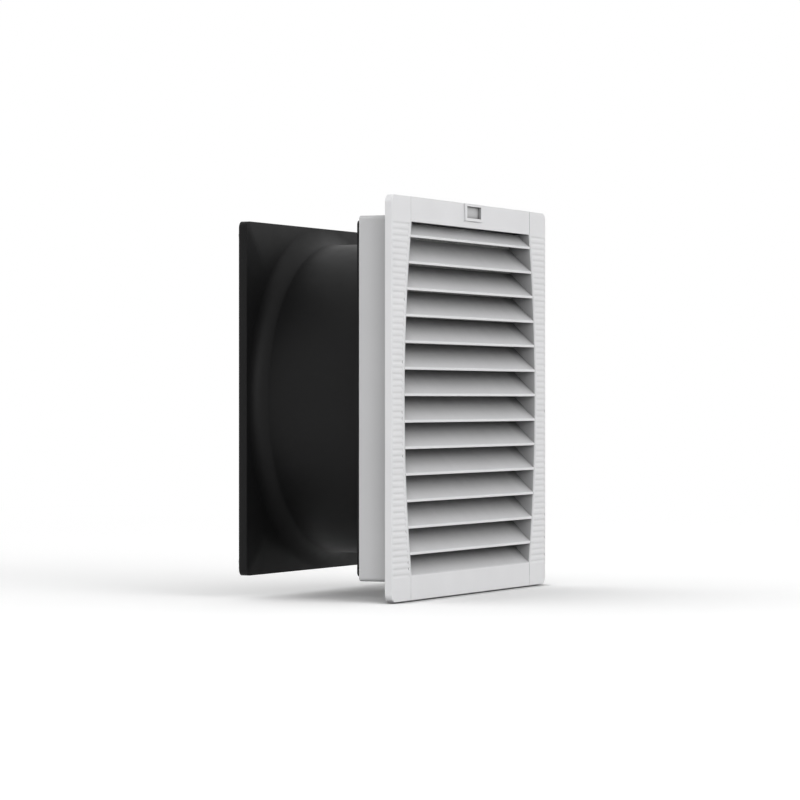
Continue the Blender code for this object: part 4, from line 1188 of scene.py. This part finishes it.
def guardArm(turn):
    v = guardValues
    end = arcPoints((v["armReach"], 0), v["armHalf"], -90, 90, v["armSteps"])
    outline = [(v["armRoot"], -v["armHalf"])] + end + [(v["armRoot"], v["armHalf"])]
    bm = outlineBlock(outline, v["front"], v["front"] + v["arm"])
    softened(bm, v["soft"])
    bm.transform(Matrix.Rotation(turn, 4, "Y"))
    return bm


def fingerGuard():
    v = guardValues
    rear = v["front"] + v["plateThick"]
    bed = rear - v["bead"]
    soft = v["soft"]
    bm = turned([
        (0.0, v["front"]), (v["plate"] - soft, v["front"]), (v["plate"], v["front"] + soft),
        (v["plate"], rear - soft), (v["plate"] - soft, rear), (v["beadOuter"], rear),
        (v["beadOuter"] - v["bead"], bed), (v["beadInner"] + v["bead"], bed),
        (v["beadInner"], rear), (0.0, rear),
    ], v["plateSteps"], closed=False)
    for quarter in range(4):
        poured(bm, guardArm(math.radians(45 + 90 * quarter)))
    finished(bm, "finger_guard", "black_coat", "root")
    level = v["front"] + v["arm"] + gap + v["wire"]
    sides = v["wireSides"]
    section = arcPoints((0, level), v["wire"], 0, 360 - 360 / sides, sides - 1)
    for index in range(v["rings"]):
        radius = v["outer"] - index * v["pitch"]
        wire = [(radius + u, y) for u, y in section]
        finished(turned(wire, v["ringSteps"]), f"guard_ring_{index + 1}", "black_coat", "root")
    print("finger guard:", v["rings"], "rings")


# Motor base, rotor can and impeller

motorValues = {
    "baseRear": 0.13514,
    "baseFront": 0.12354,
    "baseRadius": 0.046,
    "floor": 0.0036,
    "tubeInner": 0.0093,
    "tubeOuter": 0.0123,
    "tubeFront": 0.07404,
    "soft": 0.0012,
    "softSteps": 4,
    "steps": 96,
    "rotorFront": 0.06404,
    "rotorRear": 0.12104,
    "rotorRadius": 0.0463,
    "rotorWall": 0.005,
    "rotorFace": 0.0025,
    "rotorSteps": 6,
    "bore": 0.0043,
    "boss": 0.008,
    "bossEnd": 0.07204,
}


def motorShells():
    v = motorValues
    soft = v["soft"]
    base = [
        (0.0, v["baseRear"] - v["floor"]), (v["tubeInner"], v["baseRear"] - v["floor"]),
        (v["tubeInner"], v["tubeFront"]), (v["tubeOuter"], v["tubeFront"]),
        (v["tubeOuter"], v["baseFront"] - soft), (v["tubeOuter"] + soft, v["baseFront"]),
    ]
    base += arcPoints((v["baseRadius"] - soft, v["baseFront"] + soft), soft, -90, 0, v["softSteps"])
    base += [
        (v["baseRadius"], v["baseRear"] - gap), (v["baseRadius"] - gap, v["baseRear"]),
        (0.0, v["baseRear"]),
    ]
    finished(turned(base, v["steps"], closed=False), "motor_base", "cast_metal", "root")
    inner = v["rotorRadius"] - v["rotorWall"]
    can = [(v["bore"], v["rotorFront"])]
    edge = v["rotorFace"]
    can += arcPoints((v["rotorRadius"] - edge, v["rotorFront"] + edge), edge, -90, 0, v["rotorSteps"])
    can += [
        (v["rotorRadius"], v["rotorRear"] - gap), (v["rotorRadius"] - gap, v["rotorRear"]),
        (inner, v["rotorRear"]), (inner, v["rotorFront"] + edge), (v["boss"], v["rotorFront"] + edge),
        (v["boss"], v["bossEnd"]), (v["bore"], v["bossEnd"]),
    ]
    finished(turned(can, v["steps"]), "rotor_can", "black_coat", "wheel")
    print("motor base and rotor can")


wheelValues = {
    "inner": 0.0466,
    "outer": 0.0496,
    "front": 0.06854,
    "rear": 0.11654,
    "blades": 7,
    "sink": 0.0015,
    "tip": 0.12425,
    "rootChord": 0.056,
    "tipChord": 0.086,
    "rootPitch": 42.0,
    "tipPitch": 24.0,
    "sweep": 14.0,
    "camber": 0.06,
    "thick": 0.0022,
    "across": 20,
    "along": 14,
    "soft": 0.0008,
    "softSteps": 3,
    "steps": 96,
}


def bladePoint(start, share, along):
    # a point on the blade's middle surface: share runs from hub to tip, along runs from -0.5 to 0.5
    v = wheelValues
    radius = (v["outer"] - v["sink"]) * (1 - share) + v["tip"] * share
    chord = v["rootChord"] + (v["tipChord"] - v["rootChord"]) * share
    pitch = math.radians(v["rootPitch"] + (v["tipPitch"] - v["rootPitch"]) * share)
    rise = v["camber"] * chord * (1 - 4 * along * along)
    around = along * chord * math.cos(pitch) - rise * math.sin(pitch)
    axial = along * chord * math.sin(pitch) + rise * math.cos(pitch)
    turn = start + math.radians(v["sweep"]) * share ** 2 + around / radius
    middle = (v["front"] + v["rear"]) / 2
    return Vector((radius * math.sin(turn), middle + axial, radius * math.cos(turn)))


def bladeShape(start):
    v = wheelValues
    bm = bmesh.new()
    bmesh.ops.create_grid(bm, x_segments=v["along"], y_segments=v["across"], size=0.5)
    for vert in bm.verts:
        vert.co = bladePoint(start, vert.co.y + 0.5, vert.co.x)
    faceOut(bm)
    bmesh.ops.solidify(bm, geom=bm.faces[:], thickness=v["thick"])
    faceOut(bm)
    bevelEdges(bm, sharpEdges(bm, degrees=60), v["soft"], v["softSteps"])
    return bm


def impeller():
    v = wheelValues
    soft = v["soft"]
    bm = turned([
        (v["inner"], v["front"]), (v["outer"] - soft, v["front"]), (v["outer"], v["front"] + soft),
        (v["outer"], v["rear"] - soft), (v["outer"] - soft, v["rear"]), (v["inner"], v["rear"]),
    ], v["steps"])
    for index in range(v["blades"]):
        poured(bm, bladeShape(2 * math.pi * index / v["blades"]))
    finished(bm, "impeller", "black_plastic", "wheel", name="impellerWheel")
    print("impeller:", v["blades"], "blades")


# Screws: pan heads with a cross recess

screwValues = {
    "shank": 0.0017,
    "point": 0.6,
    "pointLength": 0.001,
    "head": 0.0033,
    "headSoft": 0.0001,
    "height": 0.0022,
    "dome": 0.0012,
    "domeSteps": 5,
    "steps": 32,
    "slotHalf": 0.0004,
    "slotReach": 0.0019,
    "slotDepth": 0.0011,
    "slotOver": 0.001,
    # distance from the middle, level of the seat and length
    "corners": {
        "housing_screw": (0.13, 0.03125, 0.007),
        "guard_screw": (0.13135, 0.13774, 0.0075),
    },
    "motor": (0.036, 0.13824, 0.009),
    # each place, then level of the seat and length
    "lid": ((0.10764, -0.10865), (0.12404, -0.12705), 0.13845, 0.006),
}


def screwShape(length):
    v = screwValues
    soft = v["headSoft"]
    dome = arcPoints((v["head"] - v["dome"], v["height"] - v["dome"]), v["dome"], 0, 90, v["domeSteps"])
    bm = turned([
        (0.0, -length), (v["shank"] * v["point"], -length), (v["shank"], -length + v["pointLength"]),
        (v["shank"], 0.0), (v["head"] - soft, 0.0), (v["head"], soft),
    ] + dome + [(0.0, v["height"])], v["steps"], closed=False)
    low = (-v["slotReach"], v["height"] - v["slotDepth"], -v["slotHalf"])
    cross = block(low, (v["slotReach"], v["height"] + v["slotOver"], v["slotHalf"]))
    other = cross.copy()
    other.transform(Matrix.Rotation(math.pi / 2, 4, "Y"))
    return carved(bm, [("DIFFERENCE", cross), ("DIFFERENCE", other)])


def placeScrew(node, place, length, turn=0.0):
    bm = screwShape(length)
    bm.transform(Matrix.Translation(place) @ Matrix.Rotation(turn, 4, "Z"))
    finished(bm, node, "plated_screw", "root")


def allScrews():
    v = screwValues
    for stem, (reach, seat, length) in v["corners"].items():
        corners = [(reach, reach), (-reach, reach), (-reach, -reach), (reach, -reach)]
        for number, (x, z) in enumerate(corners, 1):
            placeScrew(f"{stem}_{number}", (x, seat, z), length)
    reach, seat, length = v["motor"]
    for number, (x, z) in enumerate([(reach, 0), (0, reach), (-reach, 0), (0, -reach)], 1):
        placeScrew(f"motor_screw_{number}", (x, seat, z), length)
    *places, seat, length = v["lid"]
    for number, (y, z) in enumerate(places, 1):
        placeScrew(f"lid_screw_{number}", (seat, y, z), length, -math.pi / 2)
    print("screws")


# Cable gland in the front of the terminal box

glandValues = {
    "x": 0.12185,
    "z": -0.11785,
    "seat": 0.10354,
    "radius": 0.0065,
    "soft": 0.0009,
    "stem": 0.0045,
    "bore": 0.003,
    "boreSoft": 0.0003,
    "nut": 0.005,
    "length": 0.012,
    "flutes": 24,
    "fluteDepth": 0.0003,
}


def cableGland():
    v = glandValues
    front = v["seat"] - v["nut"]
    soft = v["soft"]
    bm = turned([
        (v["bore"], front + v["boreSoft"]), (v["bore"] + v["boreSoft"], front), (v["radius"] - soft, front),
        (v["radius"], front + soft), (v["radius"], v["seat"] - gap), (v["radius"] - gap, v["seat"]),
        (v["stem"], v["seat"]), (v["stem"], front + v["length"]), (v["bore"], front + v["length"]),
    ], v["flutes"] * 2)
    for vert in bm.verts:
        turn = math.atan2(vert.co.z, vert.co.x) * v["flutes"] / math.pi
        if round(turn) % 2 and math.hypot(vert.co.x, vert.co.z) > v["radius"] - gap * 2:
            vert.co.x *= 1 - v["fluteDepth"] / v["radius"]
            vert.co.z *= 1 - v["fluteDepth"] / v["radius"]
    bm.transform(Matrix.Translation((v["x"], 0, v["z"])))
    finished(bm, "cable_gland", "black_plastic", "root", sharp=20)
    print("cable gland")


# Solids that keep their shape: the motor's inner ones as they are, the rest with rounded edges

keptValues = {
    "plain": {
        "stator_core": "stacked_steel",
        "winding_front": "winding_wire",
        "winding_rear": "winding_wire",
        "bearing_front": "bright_steel",
        "bearing_rear": "bright_steel",
        "motor_shaft": "bright_steel",
    },
    "rounded": {
        "support_grid": ("pale_plastic", 0.0003),
        "terminal_box": ("black_plastic", 0.0003),
        "terminal_lid": ("black_plastic", 0.0004),
        "terminal_block": ("block_plastic", 0.0002),
    },
}


def dressCadNodes():
    for node, name in keptValues["plain"].items():
        mesh = nodes[node].data
        mesh.materials.clear()
        mesh.materials.append(materials[name])
    for node, (slotName, width) in keptValues["rounded"].items():
        softCopy(node, slotName, width)
    print("kept solids dressed")


addCamera()
addLight()
addFloor()
materials = makeMaterials()
frontFrame()
louvreCover()
coverLatch()
wallGasket()
filterMat()
snapClips()
fanHousing()
fingerGuard()
motorShells()
impeller()
allScrews()
cableGland()
dressCadNodes()
